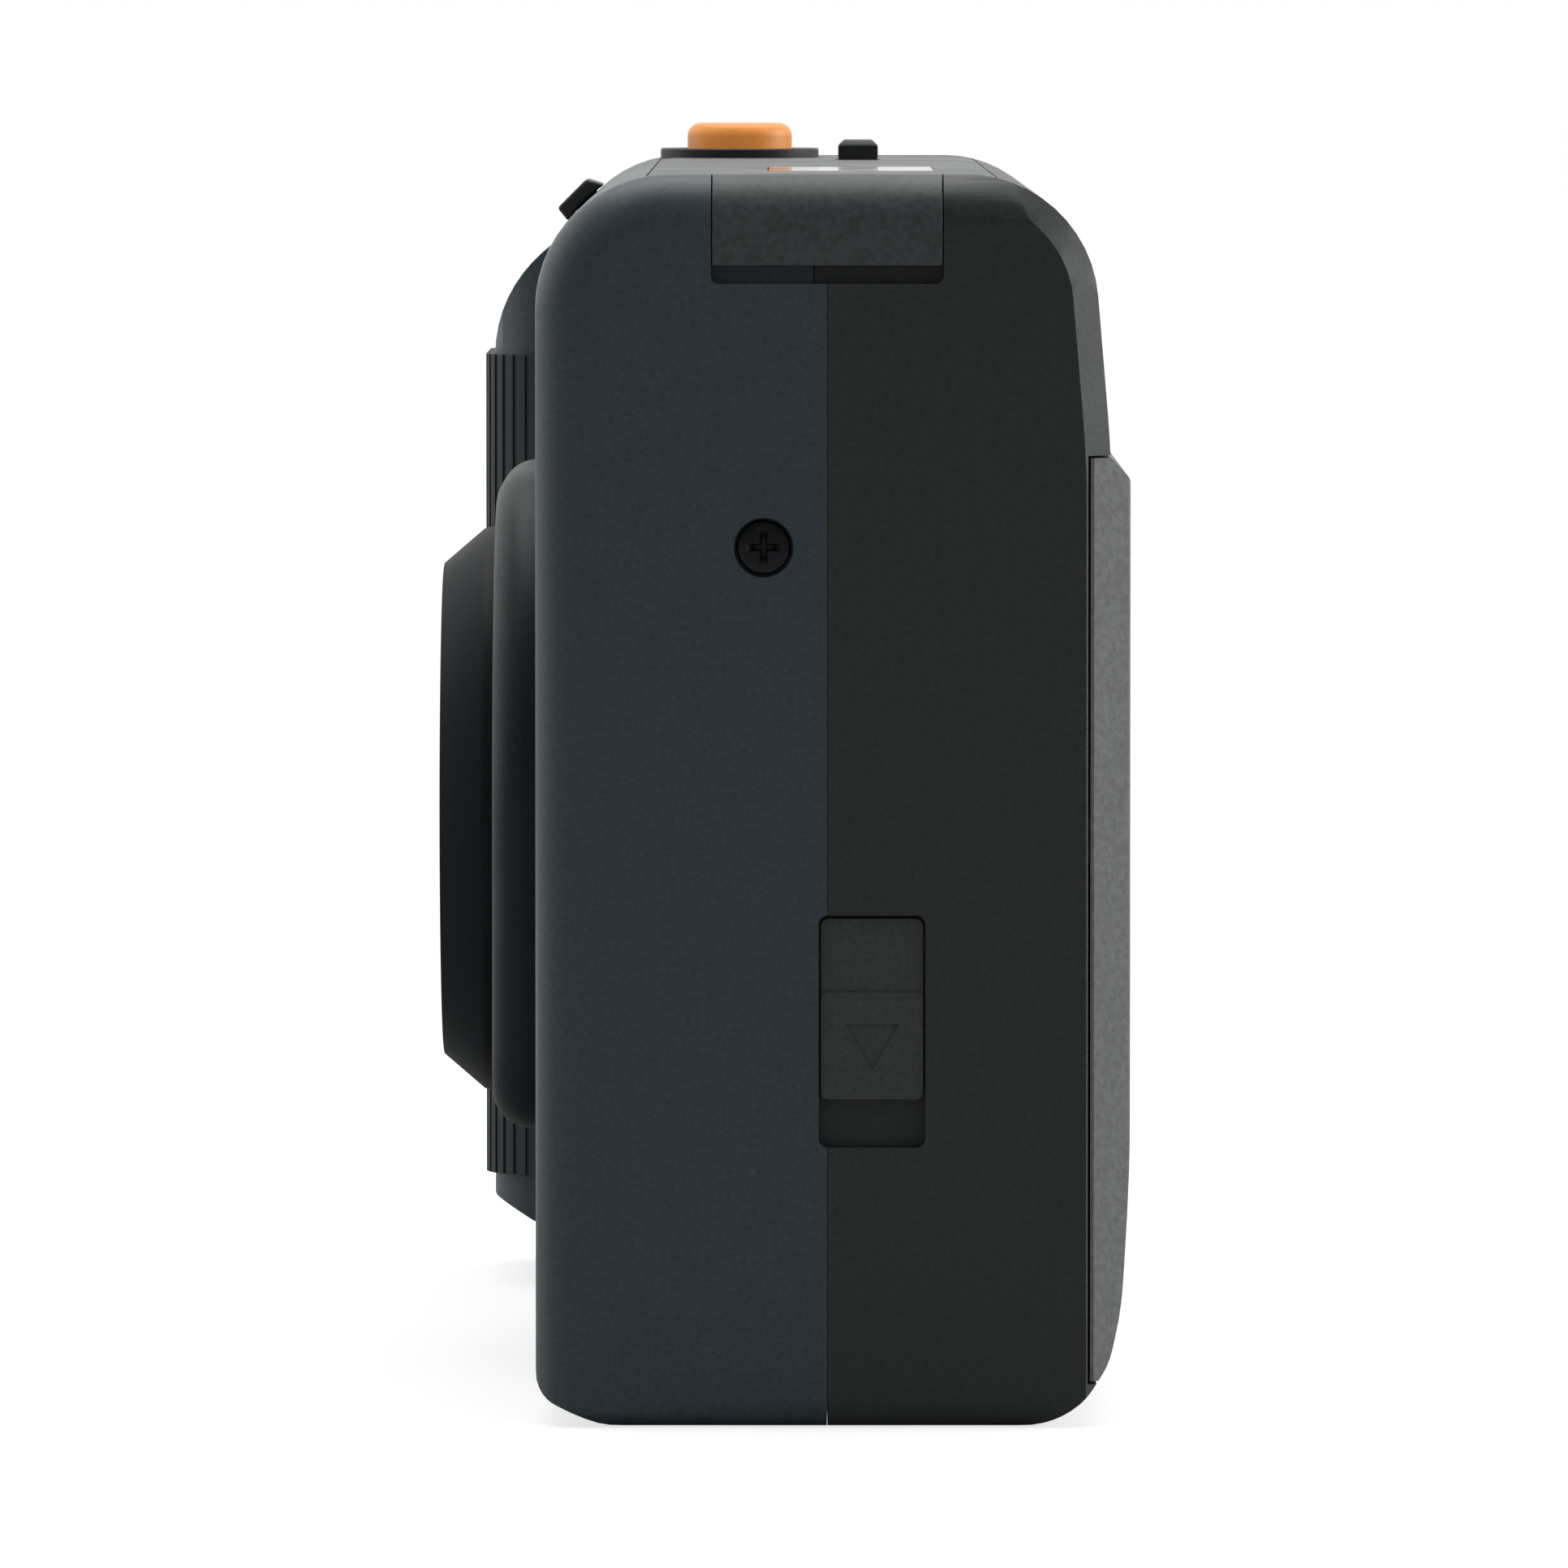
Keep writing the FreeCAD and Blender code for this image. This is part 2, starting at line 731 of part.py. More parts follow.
def make_rear_shell(skin, lap_skin):
    """Rear half of the case: side walls, door opening, hinge ears and latch floor."""
    shell = skin.common(box(-half - 1, half + 1, seam_y + seam_gap / 2.0, back_y + 1,
                            -1, body_height + 1))
    pad = box(latch_floor_x - latch_floor, inner_x + 0.2, seam_y + seam_gap / 2.0,
              latch_back_y + 1.2, latch_recess_z - 0.7, latch_recess_top_z + 1.2)
    under = box(latch_floor_x - latch_floor, latch_floor_x, latch_front_y - latch_lip, seam_y + 1.0,
                latch_recess_z - 0.7, latch_recess_top_z + 0.7)
    spring_y = (latch_front_y + latch_back_y) / 2.0
    spring_z = strap_bottom_z - latch_coil_length
    seat = box(strap_x - 0.4, inner_x + 0.2, spring_y - 1.4, spring_y + 1.4, spring_z - 1.2, spring_z)
    ears = []
    for z0, z1 in hinge_ear_spans():
        ears.append(rod("z", (hinge_x, hinge_y), hinge_radius, z0, z1))
        ears.append(box(-half + wall / 2.0, hinge_x, hinge_y - hinge_radius, hinge_y, z0, z1))
    cut_first = [box(-half - 1, half + 1, door_seat_y, back_y + 2, door_bottom_z - door_seat_gap,
                     door_top_z + door_seat_gap),
                 box(-inner_x, inner_x, door_seat_y - 8, back_y + 1, opening_bottom_z, opening_top_z)]
    shell = union([shell.cut(cut_first), lap_skin.common(lap_zone(fit_gap)), pad, under, seat] + ears)
    eyepiece = box(finder_x - eyepiece_width / 2.0, finder_x + eyepiece_width / 2.0, back_y - 4,
                   back_y + 1, finder_axis_z() - eyepiece_height / 2.0,
                   finder_axis_z() + eyepiece_height / 2.0)
    barrel_z0, barrel_z1 = hinge_barrel_span()
    cuts = [cover_zone(), eyepiece, latch_cut(),
            rod("z", (0, 0), socket_radius + running_gap, -1, wall + 1),
            rod("z", (hinge_x, hinge_y), hinge_pin_radius, door_bottom_z, door_top_z),
            rod("z", (hinge_x, hinge_y), hinge_radius + 0.3, barrel_z0 - 0.3, barrel_z1 + 0.3)]
    return shell.cut(cuts + screw_holes() + tab_slots())


def hinge_barrel_span():
    """Height span of the door's hinge barrel."""
    return door_bottom_z + hinge_barrel_from_end, door_top_z - hinge_barrel_from_end


def hinge_ear_spans():
    """Height spans of the two ears that hold the hinge pin."""
    z0, z1 = hinge_barrel_span()
    return [(z0 - 0.3 - hinge_ear, z0 - 0.3), (z1 + 0.3, z1 + 0.3 + hinge_ear)]


def finder_axis_z():
    """Height of the finder's line of sight."""
    return (window_bottom_z + window_top_z) / 2.0


def make_top_cover(skin):
    """Top plate with its end tabs, the counter opening and the button holes."""
    cover = skin.common(cover_zone(fit_gap))
    counter = box(counter_x - counter_length / 2.0, counter_x + counter_length / 2.0,
                  counter_y - counter_width / 2.0, counter_y + counter_width / 2.0,
                  body_height - 4, body_height + 1)
    button = pill(button_x, button_y, button_length + 2 * slide_gap, button_width + 2 * slide_gap,
                  body_height - 4, body_height + 1)
    mode = box(mode_x - mode_length / 2.0 - slide_gap, mode_x + mode_length / 2.0 + slide_gap,
               mode_y - mode_width / 2.0 - slide_gap, mode_y + mode_width / 2.0 + slide_gap,
               body_height - 4, body_height + 1)
    return cover.cut([counter, button, mode, collar_block(0.0)])


def collar_block(shrink):
    """The collar's outer block, sunk a little into the cover."""
    return pill(button_x, button_y, button_length + 2 * (collar_rim - shrink),
                button_width + 2 * (collar_rim - shrink), body_height - collar_sunk,
                body_height + collar_proud)


def make_button_collar():
    """The raised collar round the shutter button."""
    hole = pill(button_x, button_y, button_length + 2 * slide_gap, button_width + 2 * slide_gap,
                body_height - 2, body_height + 2)
    return collar_block(running_gap).cut(hole)


def make_shutter_button():
    """Orange button: rounded cap, retaining flange and stem."""
    cap = pill(button_x, button_y, button_length, button_width, cover_under_z - flange_height,
               button_top_z)
    top_edges = [edge for edge in cap.Edges if edge.BoundBox.ZMin > button_top_z - 0.01]
    cap = cap.makeFillet(0.8, top_edges)
    flange = pill(button_x, button_y, button_length + 2 * flange_rim, button_width + 2 * flange_rim,
                  cover_under_z - flange_height, cover_under_z)
    stem_end = board_z + board_thickness + switch_block_height + button_travel + 0.2
    stem = rod("z", (button_x, button_y), stem_radius, stem_end, cover_under_z)
    return union([cap, flange, stem])


def make_mode_button():
    """Small button with sloping sides, its flange and stem."""
    low = cover_under_z - flange_height
    cap = box(mode_x - mode_length / 2.0, mode_x + mode_length / 2.0, mode_y - mode_width / 2.0,
              mode_y + mode_width / 2.0, low, mode_top_z)
    edges = [edge for edge in cap.Edges if edge.BoundBox.ZMin > mode_top_z - 0.01]
    cap = cap.makeChamfer(0.35, edges)
    flange = box(mode_x - mode_length / 2.0 - flange_rim, mode_x + mode_length / 2.0 + flange_rim,
                 mode_y - mode_width / 2.0 - flange_rim, mode_y + mode_width / 2.0 + flange_rim,
                 low, cover_under_z)
    stem_end = board_z + board_thickness + mode_block_height + mode_travel + 0.2
    stem = rod("z", (mode_x, mode_y), stem_radius / 2.0, stem_end, cover_under_z)
    return union([cap, flange, stem])


def make_main_switch():
    """Slanted sliding knob on the top front corner, with a stem and an inner foot."""
    knob = switch_prism(switch_x - switch_length / 2.0, switch_x + switch_length / 2.0, 0.5,
                        switch_proud, switch_chord, switch_lean).cut(body_solid(-0.1))
    stem_reach = switch_length / 2.0 - 1.0
    stem = switch_prism(switch_x - stem_reach, switch_x + stem_reach, wall + 0.2, 0.3, switch_stem)
    foot = switch_prism(switch_x - stem_reach, switch_x + stem_reach, wall + 1.0, 0.0, switch_foot)
    foot = foot.common(body_solid(wall + slide_gap))
    return union([knob, stem, foot])


def make_counter_window(skin):
    """Clear window flush with the top cover."""
    return skin.common(box(counter_x - counter_length / 2.0 + fit_gap,
                           counter_x + counter_length / 2.0 - fit_gap,
                           counter_y - counter_width / 2.0 + fit_gap,
                           counter_y + counter_width / 2.0 - fit_gap,
                           body_height - 4, body_height + 1))


def make_counter_panel():
    """Display panel under the counter window."""
    top = body_height - wall - 0.35
    return box(counter_x - counter_length / 2.0 + 1, counter_x + counter_length / 2.0 - 1,
               counter_y - counter_width / 2.0 + 0.5, counter_y + counter_width / 2.0 - 0.5,
               top - panel_height, top)


def make_grip_pad():
    """Rubber pad round the grip's front and inner flank, with upright grooves."""
    outer = grip_solid(-pad_proud)
    pad = pad_zone().common(outer.cut(grip_solid(pad_sunk - pad_seat_gap)))
    section = outer.slice(V(0, 0, 1), (pad_bottom_z + pad_top_z) / 2.0)[0]
    left_limit = -half + pad_side_margin + rib_pitch
    points = [point for point in section.discretize(Distance=rib_pitch)
              if point.x > left_limit and point.y < front_y - pad_flank_depth - 0.6]
    planks = []
    for before, point, after in zip(points, points[1:], points[2:]):
        plank = Part.makeBox(rib_groove_width, 6.0, body_height, V(-rib_groove_width / 2.0, -3.0, 0))
        along = after - before
        plank.rotate(V(0, 0, 0), V(0, 0, 1), math.degrees(math.atan2(along.y, along.x)))
        plank.translate(V(point.x, point.y, 0))
        planks.append(plank)
    skin = outer.cut(grip_solid(rib_groove_depth - pad_proud))
    return pad.cut([skin.common(plank) for plank in planks])


def make_surround():
    """Raised rounded plate that the lens ring stands on."""
    x0, x1 = lens_x - surround_half_width, lens_x + surround_half_width
    z0, z1 = lens_z - surround_below, lens_z + surround_above
    outline = [(x0, z0, surround_base_corner), (x1, z0, surround_base_corner),
               (x1, z1, surround_top_corner), (x0, z1, surround_top_corner)]
    plate = prism_y(outline, surround_front_y, front_y)
    rim = [edge for edge in plate.Edges if edge.BoundBox.YMax < surround_front_y + 0.01]
    plate = plate.makeFillet(surround_edge, rim)
    return plate.cut(rod("y", (lens_x, lens_z), ring_spigot_radius + running_gap,
                         surround_front_y - 1, front_y + 1))


def make_lens_ring():
    """Conical lens ring with a dished face, a cavity for the barrier and a spigot."""
    taper_end = surround_front_y - ring_straight
    cone = Part.makeCone(ring_front_radius, ring_base_radius, taper_end - ring_front_y,
                         V(lens_x, ring_front_y, lens_z), V(0, 1, 0))
    base = rod("y", (lens_x, lens_z), ring_base_radius, taper_end, surround_front_y)
    spigot = rod("y", (lens_x, lens_z), ring_spigot_radius, surround_front_y, front_y)
    dish = Part.makeCone(ring_front_radius - ring_face_rim, lens_opening_radius + 0.4,
                         ring_face_depth, V(lens_x, ring_front_y, lens_z), V(0, 1, 0))
    cavity = rod("y", (lens_x, lens_z), ring_cavity_radius, ring_cavity_y, front_y + 1)
    opening = rod("y", (lens_x, lens_z), lens_opening_radius, ring_front_y - 1, front_y)
    return union([cone, base, spigot]).cut([dish, cavity, opening])


def make_barrier_plate():
    """Annular plate behind the barrier blades, with their two pivot pins."""
    end = barrier_plate_y + barrier_plate_thickness
    plate = tube("y", (lens_x, lens_z), ring_cavity_radius - 0.1, lens_opening_radius + 0.2,
                 barrier_plate_y, end)
    pins = [rod("y", (lens_x + barrier_pivot_x, lens_z + side * barrier_pivot_z), pivot_radius,
                barrier_y - 0.1, barrier_plate_y + 0.1) for side in (-1, 1)]
    return union([plate] + pins)


def make_barrier_blade(side):
    """One barrier blade, swung open; side is +1 for the upper one and -1 for the lower."""
    radius = lens_opening_radius + barrier_cover
    end_y = barrier_y + barrier_thickness
    pivot = (lens_x + barrier_pivot_x, lens_z + barrier_pivot_z)
    blade = rod("y", (lens_x, lens_z), radius, barrier_y, end_y)
    blade = blade.cut(box(lens_x - 20, lens_x + 20, barrier_y - 1, end_y + 1, lens_z - 20,
                          lens_z + 0.1))
    arm = box(lens_x + 3.0, pivot[0], barrier_y, end_y, lens_z + 0.1, lens_z + 2 * barrier_pivot_z - 0.1)
    eye = rod("y", pivot, eye_radius, barrier_y, end_y)
    hole = rod("y", pivot, pivot_radius + running_gap, barrier_y - 1, end_y + 1)
    blade = union([blade, arm, eye]).cut(hole)
    blade.rotate(V(pivot[0], 0, pivot[1]), V(0, 1, 0), barrier_open_angle)
    return blade if side > 0 else blade.mirror(V(lens_x, 0, lens_z), V(0, 0, 1))


def bulge_at(bulge, radius, r):
    """How far a spherical face stands out at radius r, if its middle stands out by bulge."""
    sphere = (radius ** 2 + bulge ** 2) / (2 * abs(bulge))
    drop = sphere - math.sqrt(sphere ** 2 - r ** 2)
    return bulge - math.copysign(drop, bulge)


def lens_element(front, thickness, radius, front_bulge, back_bulge):
    """A round lens on the optical axis; a bulge is how far its middle stands out."""
    def point(r, y):
        return V(lens_x + r, y, lens_z)
    r = radius * 0.5
    back = front + thickness
    edges = [Part.makeLine(point(0, front - front_bulge), point(0, back + back_bulge)),
             Part.Arc(point(0, back + back_bulge), point(r, back + bulge_at(back_bulge, radius, r)),
                      point(radius, back)).toShape(),
             Part.makeLine(point(radius, back), point(radius, front)),
             Part.Arc(point(radius, front), point(r, front - bulge_at(front_bulge, radius, r)),
                      point(0, front - front_bulge)).toShape()]
    face = Part.Face(Part.Wire(edges))
    return face.revolve(V(lens_x, 0, lens_z), V(0, 1, 0), 360)


def make_front_cell():
    """Tube that holds the two front elements, with a step inside."""
    tube_part = tube("y", (lens_x, lens_z), cell_inner_radius + cell_wall, cell_inner_radius,
                     cell_y, cell_y + front_cell_length)
    step_y = cell_y + front_lens_seat + front_lens_thickness + 0.1
    step = tube("y", (lens_x, lens_z), cell_inner_radius + 0.5, cell_inner_radius - cell_step,
                step_y, step_y + cell_step_thickness)
    return union([tube_part, step])


def make_shutter_housing():
    """Flat drum round the shutter blades, with its pivot pin."""
    drum = rod("y", (lens_x, lens_z), shutter_radius, shutter_y, shutter_y + shutter_thickness)
    room = rod("y", (lens_x, lens_z), shutter_radius - shutter_wall, shutter_y + shutter_plate,
               shutter_y + shutter_thickness - shutter_plate)
    hole = rod("y", (lens_x, lens_z), shutter_aperture, shutter_y - 1,
               shutter_y + shutter_thickness + 1)
    pin = rod("y", (lens_x - shutter_pivot_x, lens_z), pivot_radius, shutter_y + 0.1,
              shutter_y + shutter_thickness - 0.1)
    return union([drum.cut([room, hole]), pin])


def make_shutter_blade(side):
    """One shutter blade, closed over its half of the aperture."""
    layer = shutter_y + shutter_plate + (0.25 if side > 0 else 0.85)
    end = layer + shutter_blade_thickness
    pivot = (lens_x - shutter_pivot_x, lens_z)
    edge = lens_z - shutter_overlap
    blade = rod("y", (lens_x, lens_z), shutter_blade_radius, layer, end)
    blade = blade.cut(box(lens_x - 20, lens_x + 20, layer - 1, end + 1, lens_z - 20, edge))
    arm = box(pivot[0], lens_x - 3.0, layer, end, edge, lens_z + 1.0)
    eye = rod("y", pivot, eye_radius + 0.1, layer, end)
    hole = rod("y", pivot, pivot_radius + running_gap, layer - 1, end + 1)
    blade = union([blade, arm, eye]).cut(hole)
    return blade if side > 0 else blade.mirror(V(lens_x, 0, lens_z), V(0, 0, 1))


def make_rear_cell():
    """Tube behind the shutter that holds the rear element."""
    return tube("y", (lens_x, lens_z), rear_cell_radius, rear_cell_radius - rear_cell_wall,
                rear_cell_y, rear_cell_y + rear_cell_length)


def rectangle_wire(width, height, y):
    """A rectangle round the optical axis."""
    x0, x1 = lens_x - width / 2.0, lens_x + width / 2.0
    z0, z1 = lens_z - height / 2.0, lens_z + height / 2.0
    return Part.makePolygon([V(x0, y, z0), V(x1, y, z0), V(x1, y, z1), V(x0, y, z1), V(x0, y, z0)])


def light_tunnel():
    """Tapered box from the lens to the film gate, and the space inside it."""
    gate_y = rail_y - gate_depth
    wide = 2 * tunnel_wall
    shell = Part.makeLoft([rectangle_wire(tunnel_front_width + wide, tunnel_front_height + wide,
                                          tunnel_front_y),
                           rectangle_wire(frame_width + wide, frame_height + wide, gate_y)],
                          True, True)
    space = Part.makeLoft([rectangle_wire(tunnel_front_width, tunnel_front_height, tunnel_front_y),
                           rectangle_wire(frame_width, frame_height, gate_y)], True, True)
    return shell, space


def reduction_centre():
    """Axis of the reduction gear, beside the spool."""
    reach = gear_module * (pinion_teeth + wheel_teeth) / 2.0
    angle = math.radians(reduction_heading)
    return spool_x + reach * math.cos(angle), spool_y + reach * math.sin(angle)


def transfer_centres():
    """Axes of the transfer gears, in line from the rewind fork."""
    step = gear_module * transfer_teeth
    angle = math.radians(transfer_heading)
    return [(cassette_x + step * n * math.cos(angle), cassette_y + step * n * math.sin(angle))
            for n in range(1, transfer_count + 1)]


def make_chassis():
    """Main frame: decks, film gate with rails, light tunnel, chambers, posts and journals."""
    gate_y = rail_y - gate_depth
    left = spool_x - takeup_radius - takeup_wall
    right = cassette_x + cassette_radius + chamber_wall
    front = inner_front_y + 0.4
    shell, space = light_tunnel()
    parts = [box(left, right, front, rail_y, floor_z, deck_z),
             box(left, right, front, rail_y, ceiling_z, ceiling_z + deck),
             box(sprocket_x - 0.5, cassette_x - cassette_radius, gate_y, rail_y, floor_z,
                 ceiling_z + deck),
             shell,
             box(lens_x - mount_plate_half, lens_x + mount_plate_half, tunnel_front_y - deck,
                 tunnel_front_y, floor_z, lens_z + mount_plate_half),
             rod("y", (lens_x, lens_z), shutter_radius, mount_ring_y, tunnel_front_y - deck)]
    for rail in (-1, 1):
        middle = lens_z + rail * (frame_height / 2.0 + 0.9)
        parts.append(box(lens_x - frame_width / 2.0 - 1, lens_x + frame_width / 2.0 + 4,
                         rail_y - 0.1, rail_y + rail_height, middle - 0.4, middle + 0.4))
        edge = lens_z + rail * (film_half_height + 0.5)
        parts.append(box(lens_x - frame_width / 2.0 - 1, lens_x + frame_width / 2.0 + 4,
                         rail_y - 0.1, rail_y + rail_height + 0.25, edge - 0.4, edge + 0.4))
    parts += chamber_walls()
    parts += chassis_posts()
    solid = union(parts)
    return solid.cut(chassis_cuts(space, gate_y))


def chamber_walls():
    """Half round front walls and straight side walls of the two film chambers."""
    walls = []
    for x, y, radius, thick in ((cassette_x, cassette_y, cassette_radius, chamber_wall),
                                (spool_x, spool_y, takeup_radius, takeup_wall)):
        ring = tube("z", (x, y), radius + thick, radius, floor_z, ceiling_z + deck)
        walls.append(ring.common(box(x - radius - thick, x + radius + thick, inner_front_y + inner_gap, y,
                                     0, body_height)))
    walls.append(box(cassette_x + cassette_radius, cassette_x + cassette_radius + chamber_wall,
                     cassette_y, rail_y, floor_z, ceiling_z + deck))
    walls.append(box(cassette_x - cassette_radius - chamber_wall, cassette_x - cassette_radius,
                     cassette_y, rail_y, floor_z, ceiling_z + deck))
    walls.append(box(spool_x - takeup_radius - takeup_wall, spool_x - takeup_radius,
                     spool_y, rail_y, floor_z, ceiling_z + deck))
    return walls


def chassis_posts():
    """Screw posts, gear pins, board posts and the side boss."""
    posts = [rod("z", place, post_radius, wall + 0.1, floor_z + 0.1) for place in base_screw_places()]
    for place in transfer_centres():
        posts.append(rod("z", place, 1.8, wheel_top_z + 0.2, floor_z + 0.1))
        posts.append(rod("z", place, journal_radius, wheel_z - 0.2, floor_z + 0.1))
    for x, y in ((spool_x - 6.0, board_front_y + 2.0), (spool_x - 6.0, board_back_y - 2.5),
                 (board_right_x - 2.0, board_front_y + 2.0), (board_right_x - 2.0, board_back_y - 2.5)):
        posts.append(rod("z", (x, y), 1.2, ceiling_z + 0.5, board_z))
    boss_x = cassette_x + cassette_radius + chamber_wall
    posts.append(rod("x", (side_screw_y, side_screw_z), post_radius, boss_x - 0.6, inner_x - 0.1))
    return posts


def chassis_cuts(space, gate_y):
    """Everything that passes through or into the chassis."""
    small_x, small_y = reduction_centre()
    cuts = [space,
            box(lens_x - frame_width / 2.0, lens_x + frame_width / 2.0, gate_y - 0.1, rail_y + 1,
                lens_z - frame_height / 2.0, lens_z + frame_height / 2.0),
            rod("y", (lens_x, lens_z), rear_cell_radius + running_gap, mount_ring_y - 1,
                tunnel_front_y + 0.1),
            rod("z", (spool_x, spool_y), motor_shaft + 0.3, floor_z - 1, deck_z + 1),
            rod("z", (spool_x, spool_y), stem_radius + running_gap, ceiling_z - 1,
                ceiling_z + deck + 1),
            rod("z", (small_x, small_y), reduction_shaft + running_gap, floor_z - 1, deck_z + 1),
            rod("z", (small_x, small_y), gear_module * (pinion_teeth / 2.0 + 1) + 0.3, deck_z,
                deck_z + wheel_thickness + 1.2),
            rod("z", (cassette_x, cassette_y), fork_shaft + running_gap, floor_z - 1, deck_z + 1),
            rod("z", (sprocket_x, sprocket_y), journal_radius + running_gap, floor_z - 1,
                ceiling_z + deck + 1)]
    for row in (-1, 1):
        middle = lens_z + row * sprocket_row
        cuts.append(rod("z", (sprocket_x, sprocket_y), sprocket_radius + sprocket_tooth + 0.4,
                        middle - sprocket_disc / 2.0 - 0.15, middle + sprocket_disc / 2.0 + 0.4))
    for x, y in base_screw_places():
        cuts.append(rod("z", (x, y), screw_shank_radius, -1, floor_z))
    cuts.append(rod("x", (side_screw_y, side_screw_z), screw_shank_radius,
                    half - screw_recess_depth - screw_length - 0.5, half))
    return cuts


def gear(teeth, centre, z0, z1, phase):
    """A spur gear with involute teeth; phase is the angle of one tooth's middle, in degrees."""
    pitch = gear_module * teeth / 2.0
    base = pitch * math.cos(math.radians(pressure_angle))
    root, tip = pitch - 1.2 * gear_module, pitch + 0.9 * gear_module
    slope = math.radians(pressure_angle)
    at_pitch = math.pi / (2 * teeth) - gear_backlash / (2 * pitch) + math.tan(slope) - slope
    flank = []
    for step in range(5):
        radius = max(base, root) + (tip - max(base, root)) * step / 4.0
        turn = math.acos(min(1.0, base / radius))
        flank.append((radius, at_pitch - math.tan(turn) + turn))
    if root < base:
        flank.insert(0, (root, flank[0][1]))
    points = []
    for tooth in range(teeth):
        middle = math.radians(phase) + 2 * math.pi * tooth / teeth
        for radius, offset in flank:
            points.append((radius, middle - offset))
        for radius, offset in reversed(flank):
            points.append((radius, middle + offset))
    polygon = [V(centre[0] + r * math.cos(a), centre[1] + r * math.sin(a), z0) for r, a in points]
    return Part.Face(Part.makePolygon(polygon + polygon[:1])).extrude(V(0, 0, z1 - z0))


def meshed_phase(phase, teeth, heading, next_teeth):
    """Phase of the next gear, in mesh with this one along heading."""
    return heading + 180.0 + (180.0 - (phase - heading) * teeth) / next_teeth


def make_takeup_spool():
    """Hollow spool with film slots, toothed foot and a top pin."""
    foot = deck_z + 0.4
    barrel = tube("z", (spool_x, spool_y), spool_radius, spool_radius - spool_wall, foot,
                  ceiling_z - 0.4)
    wheel = gear(wheel_teeth, (spool_x, spool_y), foot, foot + wheel_thickness, 0.0)
    wheel = wheel.cut(rod("z", (spool_x, spool_y), spool_radius - spool_wall, foot - 1, foot + 4))
    cap = rod("z", (spool_x, spool_y), spool_radius, ceiling_z - 2.4, ceiling_z - 0.4)
    pin = rod("z", (spool_x, spool_y), stem_radius, ceiling_z - 1, ceiling_z + deck - 0.2)
    slots = [box(spool_x - 0.6, spool_x + 0.6, spool_y + side * (spool_radius - 1.5) - 1.7,
                 spool_y + side * (spool_radius - 1.5) + 1.7, lens_z - 13.0, lens_z + 13.0)
             for side in (-1, 1)]
    return union([barrel, wheel, cap, pin]).cut(slots)


def make_film_motor():
    """Motor can standing inside the spool, with a bush for its shaft."""
    can = rod("z", (spool_x, spool_y), motor_radius, deck_z + 0.05, deck_z + motor_length)
    return can.cut(rod("z", (spool_x, spool_y), motor_shaft + running_gap, deck_z - 1,
                       deck_z + motor_bush_depth))


def make_motor_pinion():
    """Pinion below the deck, on the motor's shaft."""
    teeth = gear(pinion_teeth, (spool_x, spool_y), wheel_z, wheel_top_z, reduction_heading)
    shaft = rod("z", (spool_x, spool_y), motor_shaft, wheel_z, deck_z + motor_shaft_length)
    return union([teeth, shaft])


def make_reduction_gear():
    """Compound gear: the wheel meets the motor pinion, its pinion meets the spool's foot."""
    centre = reduction_centre()
    wheel_phase = meshed_phase(reduction_heading, pinion_teeth, reduction_heading, wheel_teeth)
    wheel = gear(wheel_teeth, centre, wheel_z, wheel_top_z, wheel_phase)
    small_phase = meshed_phase(0.0, wheel_teeth, reduction_heading, pinion_teeth)
    low = deck_z + 0.4
    small = gear(pinion_teeth, centre, low, low + wheel_thickness, small_phase)
    shaft = rod("z", centre, reduction_shaft, wheel_z - 0.4, low + wheel_thickness)
    return union([wheel, small, shaft])


def make_rewind_fork():
    """Fork for the cassette's core, on a shaft with a gear below the deck."""
    centre = (cassette_x, cassette_y)
    teeth = gear(transfer_teeth, centre, wheel_z, wheel_top_z, transfer_heading)
    shaft = rod("z", centre, fork_shaft, wheel_z - 0.4, deck_z + 0.4)
    disc = rod("z", centre, fork_span / 2.0 + 0.6, deck_z + 0.2, deck_z + 1.2)
    prongs = box(cassette_x - fork_span / 2.0, cassette_x + fork_span / 2.0,
                 cassette_y - fork_thickness / 2.0, cassette_y + fork_thickness / 2.0,
                 deck_z + 1.0, deck_z + 1.0 + fork_height)
    gap = box(cassette_x - 1.1, cassette_x + 1.1, cassette_y - 2, cassette_y + 2,
              deck_z + 2.4, deck_z + 8)
    return union([teeth, shaft, disc, prongs.cut(gap)])


def transfer_phases():
    """Tooth phase of each transfer gear, passed along from the fork."""
    phase, phases = transfer_heading, []
    for n in range(transfer_count):
        phase = meshed_phase(phase, transfer_teeth, transfer_heading, transfer_teeth)
        phases.append(phase)
    return phases


def make_transfer_gear(index):
    """One transfer gear on its fixed pin."""
    centre = transfer_centres()[index]
    teeth = gear(transfer_teeth, centre, wheel_z, wheel_top_z, transfer_phases()[index])
    return teeth.cut(rod("z", centre, journal_radius + running_gap, wheel_z - 1, wheel_top_z + 1))


def make_sprocket():
    """Sprocket: shaft with two toothed discs at the film's perforations."""
    centre = (sprocket_x, sprocket_y)
    parts = [rod("z", centre, sprocket_shaft, deck_z + 0.3, ceiling_z - 0.3),
             rod("z", centre, journal_radius, floor_z + 0.1, ceiling_z + deck - 0.1)]
    for row in (-1, 1):
        middle = lens_z + row * sprocket_row
        z0, z1 = middle - sprocket_disc / 2.0, middle + sprocket_disc / 2.0
        parts.append(rod("z", centre, sprocket_radius, z0, z1))
        for tooth in range(sprocket_teeth):
            peg = box(sprocket_x + sprocket_radius - 0.5, sprocket_x + sprocket_radius + sprocket_tooth,
                      sprocket_y - 0.6, sprocket_y + 0.6, z0 + 0.2, z1 - 0.2)
            peg.rotate(V(sprocket_x, sprocket_y, 0), V(0, 0, 1), 360.0 * tooth / sprocket_teeth)
            parts.append(peg)
    return union(parts)


